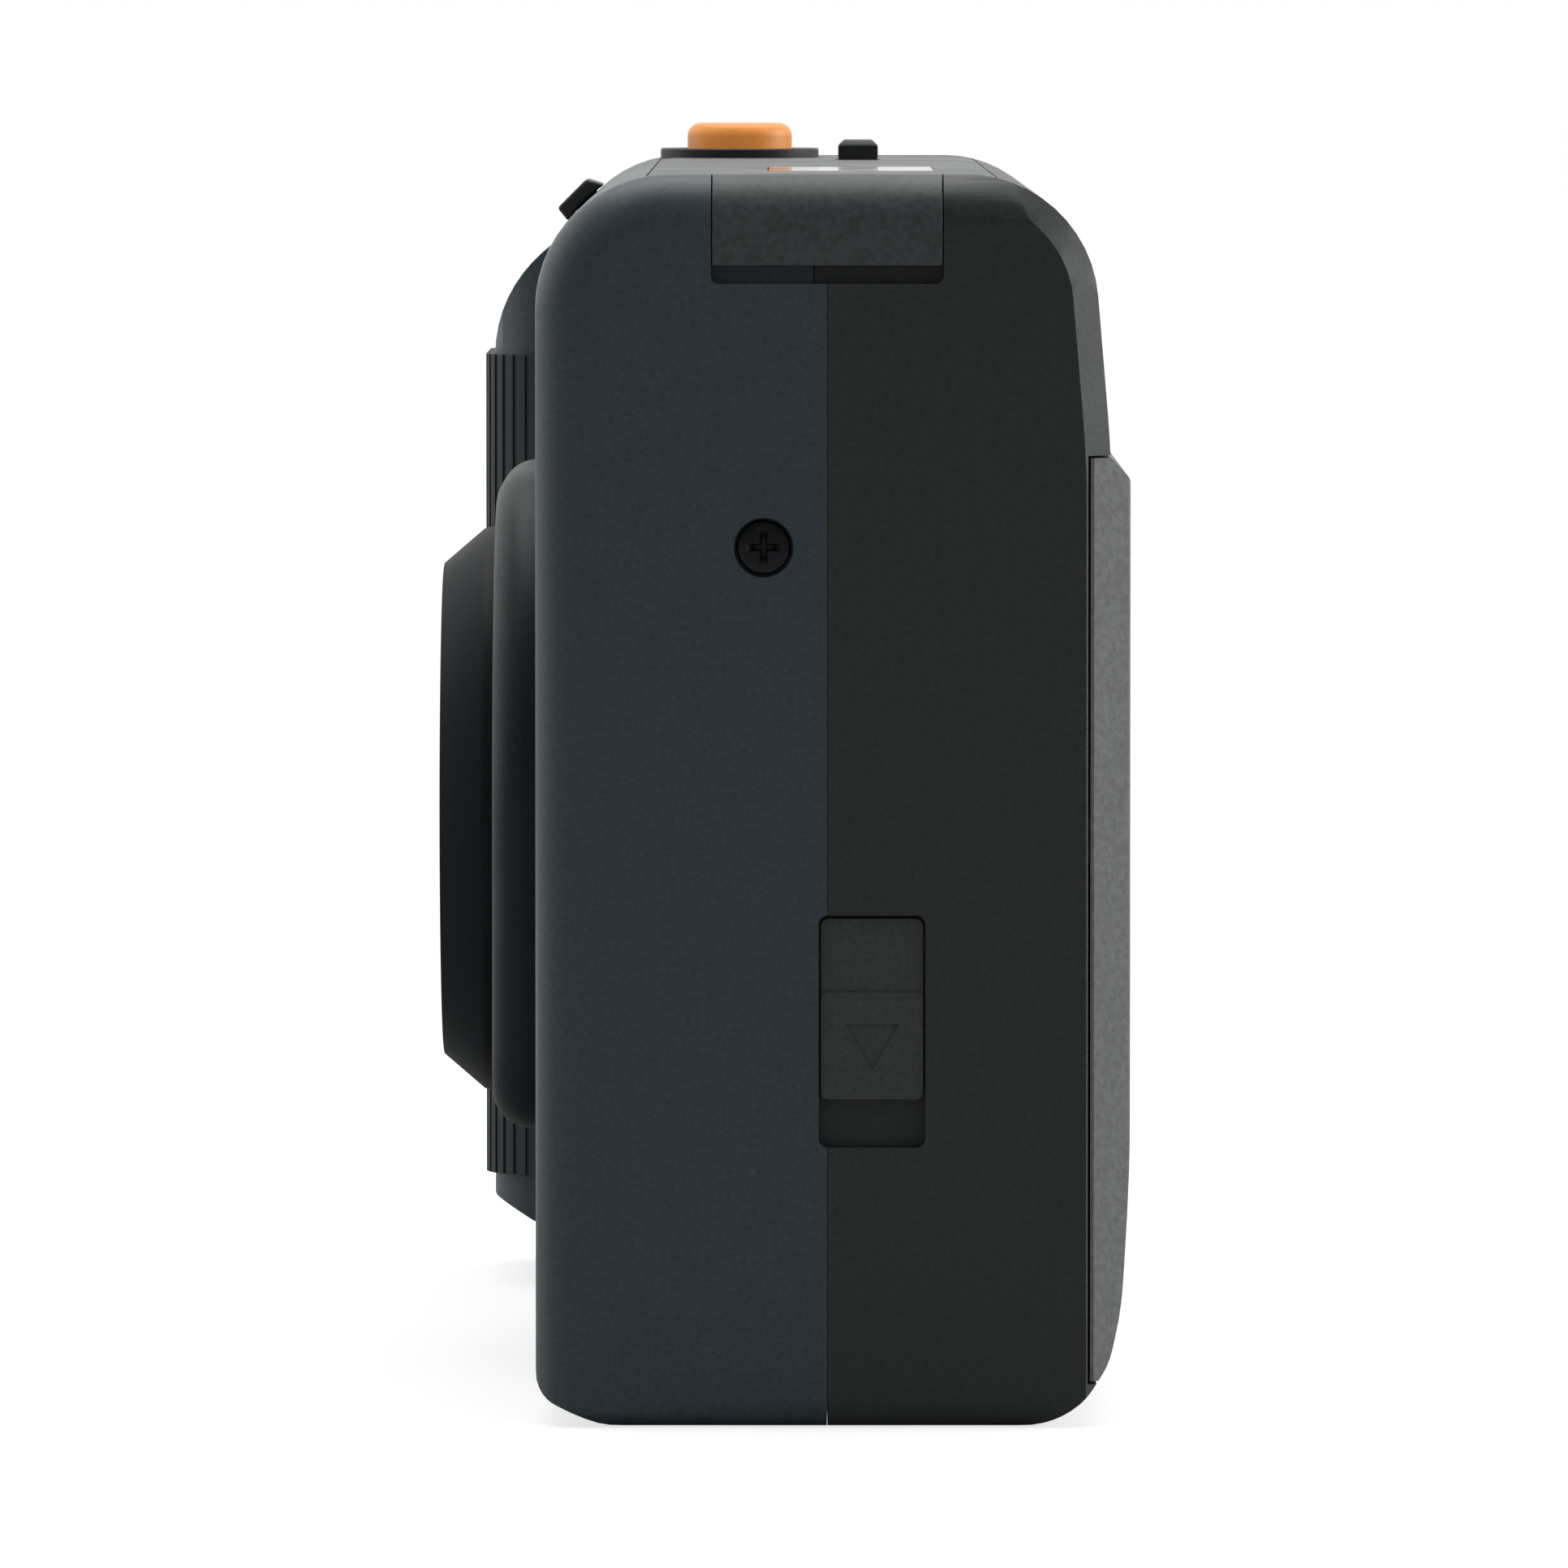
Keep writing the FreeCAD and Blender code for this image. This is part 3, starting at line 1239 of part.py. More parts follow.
def make_back_door():
    """Back door: bevelled panel, hinge barrel and catch hook."""
    near = half - door_side_inset
    bow = [(door_outer_y - inward, door_bottom_z + height, radius)
           for inward, height, radius in door_bow]
    side = [(door_inner_y, door_bottom_z, 0.0)] + bow
    side += [(door_outer_y, door_top_z - door_top_run, 0.5), (back_y, door_top_z, 0.3),
             (door_inner_y, door_top_z, 0.0)]
    plan = [(hinge_x, door_inner_y, 0.0), (near, door_inner_y, 0.0),
            (near, door_inner_y + door_edge, 0.0), (near - door_bevel_run, door_outer_y, 0.5),
            (hinge_x + 0.8, door_outer_y, 0.5), (hinge_x, door_outer_y - 0.3, 0.0)]
    panel = prism_x(side, hinge_x, half).common(prism_z(plan, 0, body_height))
    pocket = box(hinge_x + door_rim, near - door_bevel_run - door_rim, door_inner_y - 1,
                 door_outer_y - door_skin, door_bottom_z + door_rim, door_top_z - door_rim)
    z0, z1 = hinge_barrel_span()
    barrel = rod("z", (hinge_x, hinge_y), hinge_radius, z0, z1)
    clear = [rod("z", (hinge_x, hinge_y), hinge_radius + 0.35, -1, z0),
             rod("z", (hinge_x, hinge_y), hinge_radius + 0.35, z1, body_height)]
    hook = box(strap_x, strap_x + strap_thickness, catch_reach_y, door_inner_y + 0.5,
               catch_z, catch_z + catch_height)
    nose = box(strap_x, strap_x + strap_thickness, catch_reach_y, catch_reach_y + catch_nose,
               catch_z - catch_nose_drop, catch_z + 0.2)
    bore = rod("z", (hinge_x, hinge_y), hinge_pin_radius + running_gap, -1, body_height)
    window = box(film_window_x() - film_window_width / 2.0, film_window_x() + film_window_width / 2.0,
                 door_inner_y - 1, door_outer_y + 1, lens_z - film_window_height / 2.0,
                 lens_z + film_window_height / 2.0)
    panel = panel.cut([pocket, window] + clear)
    return union([panel, barrel, hook, nose]).cut(bore)


def film_window_x():
    """Middle of the film window, over the cassette."""
    return cassette_x + 2.0


def make_film_window():
    """Clear pane in the door, over the cassette's label."""
    return box(film_window_x() - film_window_width / 2.0 + fit_gap,
               film_window_x() + film_window_width / 2.0 - fit_gap,
               door_outer_y - door_skin, door_outer_y - 0.1,
               lens_z - film_window_height / 2.0 + fit_gap,
               lens_z + film_window_height / 2.0 - fit_gap)


def make_door_seal():
    """Foam strip between the door's latch side and the shell's rim."""
    near = half - door_side_inset - door_bevel_run - door_rim
    return box(near + 0.4, near + 0.4 + seal_width, door_inner_y - 0.15, door_inner_y,
               door_bottom_z + door_rim, catch_z - 4.0)


def make_pressure_plate():
    """Plate that holds the film flat over the gate and stops short of the sprocket."""
    plate = box(lens_x - plate_reach_left, lens_x + plate_reach_right, plate_y,
                plate_y + plate_thickness, lens_z - plate_half_height, lens_z + plate_half_height)
    corners = [edge for edge in plate.Edges if edge.BoundBox.YLength > plate_thickness - 0.01]
    return plate.makeFillet(plate_corner, corners)


def make_pressure_spring():
    """Bowed leaf between the pressure plate and the door."""
    low, high = plate_y + plate_thickness + 0.1, door_outer_y - door_skin - 0.05
    points = [(lens_x - leaf_reach, high - leaf_thickness), (lens_x - leaf_foot, low),
              (lens_x + leaf_foot, low), (lens_x + leaf_reach, high - leaf_thickness)]
    foot_z = lens_z - leaf_width / 2.0
    lower = [V(x, y, foot_z) for x, y in points]
    upper = [V(x, y + leaf_thickness, foot_z) for x, y in reversed(points)]
    loop = lower + upper
    return Part.Face(Part.makePolygon(loop + loop[:1])).extrude(V(0, 0, leaf_width))


def make_latch_slider():
    """Latch: finger plate with a sunk triangle, shank, strap and catch tooth."""
    y0, y1 = latch_front_y + 0.12, latch_back_y - 0.12
    middle_y = (y0 + y1) / 2.0
    plate = prism_x(rounded_box(y0, y1, knob_z, knob_z + knob_height, 0.4),
                    latch_floor_x + 0.1, knob_face_x)
    cover = prism_x(rounded_box(y0, y1, knob_z + knob_height - 1.0, latch_recess_top_z - cover_plate_gap,
                                0.4), latch_floor_x + 0.1, half - cover_plate_inset)
    middle_z = knob_z + knob_height * triangle_place
    corners = [(middle_y - triangle_side / 2.0, middle_z), (middle_y, middle_z - triangle_side * 0.87),
               (middle_y + triangle_side / 2.0, middle_z)]
    points = [V(knob_face_x - triangle_depth, y, z) for y, z in corners]
    triangle = Part.Face(Part.makePolygon(points + points[:1])).extrude(V(1, 0, 0))
    shank_z0, shank_z1 = latch_shank_span()
    shank = box(strap_x + 0.3, latch_floor_x + 0.5, middle_y - latch_shank / 2.0,
                middle_y + latch_shank / 2.0, shank_z0, shank_z1)
    strap = box(strap_x, strap_x + strap_thickness, middle_y - 2.4, middle_y + 2.4,
                strap_bottom_z, catch_z - catch_nose_drop - catch_gap - 0.5)
    tooth_y = catch_reach_y + catch_nose + 0.3
    top = catch_z - catch_nose_drop - catch_gap
    arm = box(strap_x, strap_x + strap_thickness, middle_y, tooth_y + 1.1, top - 2.4, top - 0.8)
    tooth = box(strap_x, strap_x + strap_thickness, tooth_y, tooth_y + 1.1, top - 1.0, top)
    return union([plate.cut(triangle), cover, shank, strap, arm, tooth])


def arc_from(start, heading, end):
    """An arc that leaves start along heading and ends at end."""
    chord = end - start
    half_angle = heading.getAngle(chord) / 2.0
    aim = (heading + V(chord).normalize()).normalize()
    return Part.Arc(start, start + aim * (chord.Length / 2.0 / math.cos(half_angle)), end).toShape()


def coil(x, y, radius, wire, z0, z1, turns):
    """A round wire coil standing between two heights, each quarter turn made of two arcs."""
    rise = (z1 - z0 - wire) / turns
    places = []
    for quarter in range(4 * turns + 1):
        angle = quarter * math.pi / 2
        place = V(x + radius * math.cos(angle), y + radius * math.sin(angle),
                  z0 + wire / 2.0 + rise * quarter / 4.0)
        heading = V(-radius * math.sin(angle), radius * math.cos(angle), rise / (2 * math.pi))
        places.append((place, heading.normalize()))
    arcs = []
    for (start, heading), (end, end_heading) in zip(places, places[1:]):
        chord = end - start
        spread = 1.0 - heading.dot(end_heading)
        along = chord.dot(heading + end_heading)
        reach = (math.sqrt(along ** 2 + 2 * spread * chord.dot(chord)) - along) / (2 * spread)
        joint = (start + end + (heading - end_heading) * reach) * 0.5
        arcs += [arc_from(start, heading, joint), arc_from(end, end_heading * -1, joint)]
    path = Part.Wire(Part.__sortEdges__(arcs))
    ring = Part.Wire(Part.makeCircle(wire / 2.0, places[0][0], places[0][1]))
    return path.makePipeShell([ring], True)


def make_latch_spring():
    """Coil that pushes the latch back up, under its strap."""
    middle_y = (latch_front_y + latch_back_y) / 2.0
    return coil(strap_x + strap_thickness / 2.0, middle_y, latch_coil_radius, latch_coil_wire,
                strap_bottom_z - latch_coil_length, strap_bottom_z - 0.02, coil_turns)


def make_button_spring():
    """Coil round the shutter button's stem."""
    return coil(button_x, button_y, spring_radius, spring_wire,
                board_z + board_thickness + switch_block_height + 0.02,
                cover_under_z - flange_height - 0.02, coil_turns)


def make_circuit_board():
    """Main board with chips and the two switch blocks under the buttons."""
    top = board_z + board_thickness
    board = box(board_left_x, board_right_x, board_front_y, board_back_y, board_z, top)
    parts = [board]
    for inset, y, length, width, height in board_chips:
        x = board_right_x - inset
        parts.append(box(x - length / 2.0, x + length / 2.0, y - width / 2.0, y + width / 2.0,
                         top - 0.1, top + height))
    parts.append(box(button_x - switch_block / 2.0, button_x + switch_block / 2.0,
                     button_y - switch_block / 2.0, button_y + switch_block / 2.0, top - 0.1,
                     top + switch_block_height))
    parts.append(box(mode_x - 1.8, mode_x + 1.8, mode_y - 1.8, mode_y + 1.8, top - 0.1,
                     top + mode_block_height))
    return union(parts)


def inside_case(shape, gap=inner_gap):
    """Whatever of a shape lies inside the case wall, with a gap."""
    return shape.common(outer_solid(wall + gap))


def make_finder_housing():
    """Square tube of the viewfinder, open at both ends."""
    x0, x1 = finder_x - finder_width / 2.0, finder_x + finder_width / 2.0
    end_y = back_y - back_lean - wall - eyepiece_sunk - 0.1
    tube_part = box(x0, x1, inner_front_y, end_y, board_z, window_top_z + 0.8)
    sight = box(x0 + finder_wall, x1 - finder_wall, front_y, back_y, board_z + finder_wall,
                window_top_z)
    return inside_case(tube_part).cut(sight)


def finder_lens(y0, thickness, bulge):
    """A finder lens: a block with one bowed face, held by the housing."""
    width = finder_width - 2 * finder_wall - 2 * running_gap
    z0, z1 = board_z + finder_wall + running_gap, window_top_z - running_gap
    reach = width / 2.0
    block = box(finder_x - reach, finder_x + reach, y0, y0 + thickness, z0, z1)
    radius = (reach ** 2 + bulge ** 2) / (2 * bulge)
    bow = rod("z", (finder_x, y0 + radius), radius, z0 - 1, z1 + 1)
    return block.common(bow)


def make_eyepiece():
    """Eyepiece lens in the rear shell's opening."""
    reach_x, reach_z = eyepiece_width / 2.0 - fit_gap, eyepiece_height / 2.0 - fit_gap
    pane = box(finder_x - reach_x, finder_x + reach_x, back_y - 5.0, back_y + 1.0,
               finder_axis_z() - reach_z, finder_axis_z() + reach_z)
    return pane.common(body_solid(eyepiece_sunk, True).cut(body_solid(wall + eyepiece_sunk, True)))


def make_flash_reflector():
    """Trough shaped reflector behind the flash window."""
    reach = flash_width / 2.0 - 0.6
    axis = (inner_front_y + 0.9, finder_axis_z())
    block = box(flash_x - reach, flash_x + reach, inner_front_y, inner_front_y + module_depth,
                board_z - 0.2, window_top_z)
    trough = rod("x", axis, flash_groove, flash_x - reach + 0.7, flash_x + reach - 0.7)
    ends = rod("x", (axis[0] + 1.1, axis[1]), flash_tube_radius + running_gap, flash_x - reach - 1,
               flash_x + reach + 1)
    return inside_case(block).cut([trough, ends])


def make_flash_tube():
    """Glass tube through the reflector's ends."""
    reach = flash_width / 2.0 - 0.5
    return rod("x", (inner_front_y + 2.0, finder_axis_z()), flash_tube_radius, flash_x - reach,
               flash_x + reach)


def make_capacitor():
    """Flash capacitor lying on the chassis."""
    return rod("x", (capacitor_y, ceiling_z + deck + 0.2 + capacitor_radius), capacitor_radius,
               flash_x - capacitor_length / 2.0, flash_x + capacitor_length / 2.0 - 2.0)


def make_autofocus_module():
    """Sensor block behind the two small windows."""
    reach = autofocus_spacing / 2.0 + autofocus_radius + 0.6
    block = box(autofocus_x - reach, autofocus_x + reach, inner_front_y, inner_front_y + module_depth,
                ceiling_z + deck + 0.2, autofocus_z + autofocus_radius + 0.5)
    eyes = [rod("y", (autofocus_x + side * autofocus_spacing / 2.0, autofocus_z),
                autofocus_radius - 0.6, front_y, inner_front_y + 2.0) for side in (-1, 1)]
    return inside_case(block).cut(eyes)


def make_battery_box():
    """Tube round the battery with a cap and the left side screw's boss."""
    centre = (battery_x, battery_y)
    top = battery_bottom_z + battery_length + battery_nub + contact_thickness + 0.2
    bore = battery_radius + battery_bore_gap
    parts = [rod("z", centre, bore + battery_box_wall, battery_door_top_z + 0.6, top + battery_cap),
             box(-inner_x + 0.1, -inner_x + 6.0, side_screw_y - 2.4, side_screw_y + 2.4,
                 top - 3.0, side_screw_z + 2.6)]
    solid = inside_case(union(parts))
    shank = rod("x", (side_screw_y, side_screw_z), screw_shank_radius, -half,
                -half + screw_recess_depth + screw_length + 0.5)
    return solid.cut([rod("z", centre, bore, 0, top), shank])


def make_battery():
    """Lithium cell standing in the grip."""
    centre = (battery_x, battery_y)
    top = battery_bottom_z + battery_length
    return union([rod("z", centre, battery_radius, battery_bottom_z, top),
                  rod("z", centre, battery_nub_radius, top - 0.1, top + battery_nub)])


def make_battery_contact():
    """Flat contact over the battery's nub."""
    top = battery_bottom_z + battery_length + battery_nub + 0.1
    return rod("z", (battery_x, battery_y), battery_nub_radius + 1.2, top, top + contact_thickness)


def make_door_contact():
    """Bowed contact leaf on the battery door."""
    z0, z1 = wall + 0.02, battery_bottom_z - 0.15
    reach, thick = 5.0, contact_thickness
    points = [(-reach, z0), (-1.5, z1 - thick), (1.5, z1 - thick), (reach, z0)]
    under = [V(battery_x + x, battery_y + 1.5, z) for x, z in points]
    over = [V(battery_x + x * 1.02, battery_y + 1.5, z + thick) for x, z in reversed(points)]
    loop = under + over
    return Part.Face(Part.makePolygon(loop + loop[:1])).extrude(V(0, 3.5, 0))


def make_battery_door(skin):
    """Door in the grip's foot, with its hinge barrel and end pins."""
    hinge = battery_hinge_centre()
    left = battery_x - battery_radius - battery_door_margin + 0.2
    swing = rod("y", hinge, hinge[0] - left, grip_front_y - 1, 1)
    panel = skin.common(battery_door_zone(0.2)).common(swing)
    barrel = rod("y", hinge, battery_hinge_radius, battery_hinge_front_y, battery_hinge_back_y)
    pins = rod("y", hinge, pivot_radius, battery_hinge_front_y - 1.2, battery_hinge_back_y + 0.5)
    return union([panel, barrel, pins])


def case_screw():
    """One cross head screw; its head's face is at z = 0 and it points down."""
    head = rod("z", (0, 0), screw_head_radius, -screw_head_height, 0)
    rim = [edge for edge in head.Edges if edge.BoundBox.ZMin > -0.01]
    head = head.makeFillet(0.25, rim)
    shank = rod("z", (0, 0), screw_shank_radius, -screw_head_height - screw_length,
                -screw_head_height + 0.1)
    reach, half_slot = screw_cross_length / 2.0, screw_cross / 2.0
    cross = [box(-reach, reach, -half_slot, half_slot, -screw_cross_depth, 1),
             box(-half_slot, half_slot, -reach, reach, -screw_cross_depth, 1)]
    return union([head, shank]).cut(cross)


def make_case_screws():
    """The six alike screws of the case: four in the base, one in each side."""
    depth = screw_recess_depth - screw_head_height
    screws = []
    for x, y in base_screw_places():
        screw = case_screw()
        screw.rotate(V(0, 0, 0), V(1, 0, 0), 180)
        screw.translate(V(x, y, depth))
        screws.append(screw)
    side = case_screw()
    side.rotate(V(0, 0, 0), V(0, 1, 0), 90)
    side.translate(V(half - depth, side_screw_y, side_screw_z))
    return Part.makeCompound(screws + [side, side_mirror(side)])


def make_tripod_socket():
    """Brass insert with a blind hole, flush with the base."""
    body = rod("z", (0, 0), socket_radius, 0, floor_z - 0.1)
    flange = rod("z", (0, 0), socket_flange_radius, wall + 0.05, wall + 0.05 + socket_flange)
    return union([body, flange]).cut(rod("z", (0, 0), socket_bore_radius, -1, socket_bore_depth))


def make_hinge_pin():
    """Steel pin through the ears and the door's barrel."""
    (z0, z1), (z2, z3) = hinge_ear_spans()
    return rod("z", (hinge_x, hinge_y), hinge_pin_radius, z0, z3)


def save(name, shape):
    """Write one piece under its name."""
    shape.exportStep(os.path.join("parts", name + ".step"))


os.makedirs("parts", exist_ok=True)
case_skin = outer_solid().cut(outer_solid(wall))
rear_skin = body_solid(0.0, True).cut(body_solid(wall, True))
finder_zone, flash_zone, eye_zones = window_zones(fit_gap)

save("front_shell", make_front_shell(case_skin))
save("rear_shell", make_rear_shell(rear_skin, case_skin))
save("top_cover", make_top_cover(case_skin))
save("lens_surround", make_surround())
save("lens_ring", make_lens_ring())
save("grip_pad", make_grip_pad())
save("button_collar", make_button_collar())
save("counter_window", make_counter_window(case_skin))
save("counter_panel", make_counter_panel())
save("finder_window", case_skin.common(finder_zone))
save("flash_window", case_skin.common(flash_zone))
save("autofocus_windows", Part.makeCompound([case_skin.common(eye) for eye in eye_zones]))

save("shutter_button", make_shutter_button())
save("shutter_button_spring", make_button_spring())
save("mode_button", make_mode_button())
save("main_switch", make_main_switch())

save("barrier_plate", make_barrier_plate())
save("barrier_blade_upper", make_barrier_blade(1))
save("barrier_blade_lower", make_barrier_blade(-1))
save("front_lens_cell", make_front_cell())
save("front_lens", lens_element(cell_y + front_lens_seat, front_lens_thickness,
                                cell_inner_radius - running_gap, 0.45, -0.4))
save("middle_lens", lens_element(cell_y + middle_lens_seat, middle_lens_thickness,
                                 cell_inner_radius - running_gap, -0.3, -0.3))
save("shutter_housing", make_shutter_housing())
save("shutter_blade_upper", make_shutter_blade(1))
save("shutter_blade_lower", make_shutter_blade(-1))
save("rear_lens_cell", make_rear_cell())
save("rear_lens", lens_element(rear_cell_y + rear_lens_seat, rear_lens_thickness,
                               rear_cell_radius - rear_cell_wall - running_gap, 0.6, 0.5))

save("chassis", make_chassis())
save("takeup_spool", make_takeup_spool())
save("film_motor", make_film_motor())
save("motor_pinion", make_motor_pinion())
save("reduction_gear", make_reduction_gear())
save("sprocket", make_sprocket())
save("rewind_fork", make_rewind_fork())
for number in range(transfer_count):
    save("transfer_gear_%d" % (number + 1), make_transfer_gear(number))

save("back_door", make_back_door())
save("hinge_pin", make_hinge_pin())
save("film_window", make_film_window())
save("door_seal", make_door_seal())
save("pressure_plate", make_pressure_plate())
save("pressure_spring", make_pressure_spring())
save("latch_slider", make_latch_slider())
save("latch_spring", make_latch_spring())

save("finder_housing", make_finder_housing())
save("finder_objective", finder_lens(inner_front_y + objective_seat, objective_thickness, 0.5))
save("finder_eyepiece", make_eyepiece())
save("flash_reflector", make_flash_reflector())
save("flash_tube", make_flash_tube())
save("flash_capacitor", make_capacitor())
save("autofocus_module", make_autofocus_module())
save("circuit_board", make_circuit_board())

save("battery_box", make_battery_box())
save("battery", make_battery())
save("battery_contact", make_battery_contact())
save("battery_door_contact", make_door_contact())
save("battery_door", make_battery_door(case_skin))
save("case_screws", make_case_screws())
save("tripod_socket", make_tripod_socket())
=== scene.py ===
import json
import math

import bmesh
import bpy
from bpy.props import FloatProperty, FloatVectorProperty, IntProperty, PointerProperty
from mathutils import Matrix, Vector

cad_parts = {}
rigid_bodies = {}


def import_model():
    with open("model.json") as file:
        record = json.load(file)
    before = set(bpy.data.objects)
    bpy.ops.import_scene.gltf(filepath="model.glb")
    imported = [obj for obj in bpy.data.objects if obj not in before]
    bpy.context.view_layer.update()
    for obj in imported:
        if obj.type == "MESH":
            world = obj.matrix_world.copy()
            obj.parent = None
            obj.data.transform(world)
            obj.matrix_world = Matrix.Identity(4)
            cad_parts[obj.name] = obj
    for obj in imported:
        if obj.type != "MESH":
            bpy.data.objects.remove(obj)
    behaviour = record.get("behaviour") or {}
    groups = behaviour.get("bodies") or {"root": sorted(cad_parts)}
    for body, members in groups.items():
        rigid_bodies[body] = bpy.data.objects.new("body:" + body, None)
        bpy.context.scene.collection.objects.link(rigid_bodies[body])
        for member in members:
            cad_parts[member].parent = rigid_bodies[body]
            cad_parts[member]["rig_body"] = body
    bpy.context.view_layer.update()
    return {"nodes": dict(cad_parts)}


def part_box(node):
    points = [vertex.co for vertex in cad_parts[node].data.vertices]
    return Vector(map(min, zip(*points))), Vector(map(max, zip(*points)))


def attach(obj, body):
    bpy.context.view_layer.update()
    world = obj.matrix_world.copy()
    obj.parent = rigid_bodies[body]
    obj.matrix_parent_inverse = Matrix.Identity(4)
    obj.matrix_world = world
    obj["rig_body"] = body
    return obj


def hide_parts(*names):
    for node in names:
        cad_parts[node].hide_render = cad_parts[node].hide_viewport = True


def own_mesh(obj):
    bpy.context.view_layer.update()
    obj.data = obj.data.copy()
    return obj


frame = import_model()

bl_info = {
    "name": "Compact film camera",
    "version": (1, 0, 0),
    "blender": (4, 5, 0),
    "location": "3D View > Sidebar > Film camera",
    "description": "Dresses the packed camera with its finished pieces and finishes",
    "category": "Object",
}

MM = 0.001
CASE = "camera_body"
NODES = frame["nodes"]


# Mottling, grain and specks of the finishes: sizes in metres, rates per metre
NOISE_DARK, NOISE_LIGHT = 0.3, 0.7
GRAIN_DARK, GRAIN_LIGHT = 0.36, 0.64
MOTTLE_SIZE = 0.011
SPECK_RATE = 210.0
SPECK_CORE, SPECK_RIM = 0.02, 0.05
SPECK_STRENGTH = 0.5
SPECK_LIFT = 1.8
SMEAR_SIZE = 0.004
RUBBER_MOTTLE_SIZE = 0.006
RUBBER_PIT_RATE = 4200.0
METAL_RELIEF = 0.00002
RUBBER_RELIEF = 0.00003

# Meshes
MERGE_DISTANCE = 1e-6
SWEEP_MERGE_DISTANCE = 1e-7
FLAT_ANGLE = 0.3
COIL_TURNS = 6
COIL_STEPS = 28
COIL_SIDES = 10

# Case screws
SCREW_HEAD_RADIUS = 1.5 * MM
SCREW_HEAD_HEIGHT = 0.8 * MM
SCREW_LENGTH = 4.95 * MM
SCREW_SHANK_RADIUS = 0.84 * MM
SCREW_CROSS_DEPTH = 0.5 * MM
SCREW_POINT = 0.4 * MM
SCREW_TURNS = 10

# Lens ring
RING_LOW, RING_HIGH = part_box("lens_ring")
RING_MIDDLE = (RING_LOW + RING_HIGH) / 2
RING_TAPER = 2.0 * MM
RING_SPIGOT_STEP = 0.8 * MM
RING_OPENING = 6.4 * MM
RING_HOLLOW = 14.9 * MM
RING_HEIGHT = 3.2 * MM
RING_STRAIGHT = 0.7 * MM
RING_RIM = 1.8 * MM
RING_LIP = 0.4 * MM
RING_DISH = 0.9 * MM
RING_FACE_BACK = 1.5 * MM
RING_SOFT = 0.12 * MM
RING_SWEEP_RADIUS = 10.0 * MM
RING_SWEEP_STEPS = 144

# Coil springs: half the wire's thickness, and how far each closes up
RELEASE_WIRE, RELEASE_TRAVEL = 0.175 * MM, 1.0 * MM
LATCH_WIRE, LATCH_TRAVEL = 0.15 * MM, 2.4 * MM

# Edge rounding of the pieces that have no setting of their own
BLADE_EDGE = 0.05 * MM
PAD_EDGE = 0.06 * MM
DOOR_EDGE = 0.16 * MM

# How much the latch's colour is lifted above the other controls: painted light, standing in for
# the light that its dished pad catches
LATCH_PAINTED_LIGHT = 2.0

# Stage: the lamps are (name, place, size, power); the camera aims at the near side's middle, and
# rises by CAMERA_RISE, the sine of its slope
FLOOR_REACH = 6.0
FLOOR_LEVEL = -0.00005
FLOOR_GLOW = 0.72
GLOSS_FROM, GLOSS_TO = -0.3, 0.7
GLOSS_BRIGHT, GLOSS_DIM = 1.0, 0.1
SOFT_DIM = 0.85
LAMP_TARGET = (0.0, 0.0, 0.035)
LAMPS = (("top softbox", (-0.25, 0.0, 0.95), 0.9, 5.0),
         ("front softbox", (-0.35, -0.9, 0.3), 0.8, 0.8),
         ("rear softbox", (-0.1, 0.95, 0.25), 0.8, 5.5))
CAMERA_SENSOR = 36.0
CAMERA_LENS = 375.7
CAMERA_RISE = 0.0471
CAMERA_AIM = Vector((63.0, -1.58, 35.5)) * MM
CAMERA_CLIP = (0.05, 20.0)


# ---------------------------------------------------------------- shaders


def add(tree, kind, inputs=None, **settings):
    """A new node; an input is given as a value or as another node's output."""
    node = tree.nodes.new(kind)
    for key, value in settings.items():
        setattr(node, key, value)
    for key, value in (inputs or {}).items():
        if isinstance(value, bpy.types.NodeSocket):
            tree.links.new(value, node.inputs[key])
        else:
            node.inputs[key].default_value = value
    return node


def blank(name, colour, roughness, **sockets):
    """A material with a Principled shader, and the object's own coordinates."""
    material = bpy.data.materials.new(name)
    material.use_nodes = True
    tree = material.node_tree
    surface = tree.nodes["Principled BSDF"]
    surface.inputs["Base Color"].default_value = (*colour, 1.0)
    surface.inputs["Roughness"].default_value = roughness
    for key, value in sockets.items():
        surface.inputs[key.replace("_", " ")].default_value = value
    place = add(tree, "ShaderNodeTexCoord").outputs["Object"]
    return material, tree, surface, place


def shade(colour, factor):
    """The colour made lighter or darker, as a socket's four numbers."""
    return (*[min(1.0, c * factor) for c in colour], 1.0)


def mixed(tree, factor, dark, light):
    """A colour between two others, by a factor."""
    node = add(tree, "ShaderNodeMix", {0: factor, 6: dark, 7: light}, data_type="RGBA")
    return node.outputs[2]


def ranged(tree, value, low, high, to_low, to_high):
    """A value carried from one span to another."""
    node = add(tree, "ShaderNodeMapRange", {"Value": value, "From Min": low, "From Max": high,
                                            "To Min": to_low, "To Max": to_high})
    return node.outputs["Result"]


def noise(tree, place, size, detail=3.0):
    """Noise whose blobs are about this size, in metres."""
    return add(tree, "ShaderNodeTexNoise",
               {"Vector": place, "Scale": 1.0 / size, "Detail": detail}).outputs["Fac"]


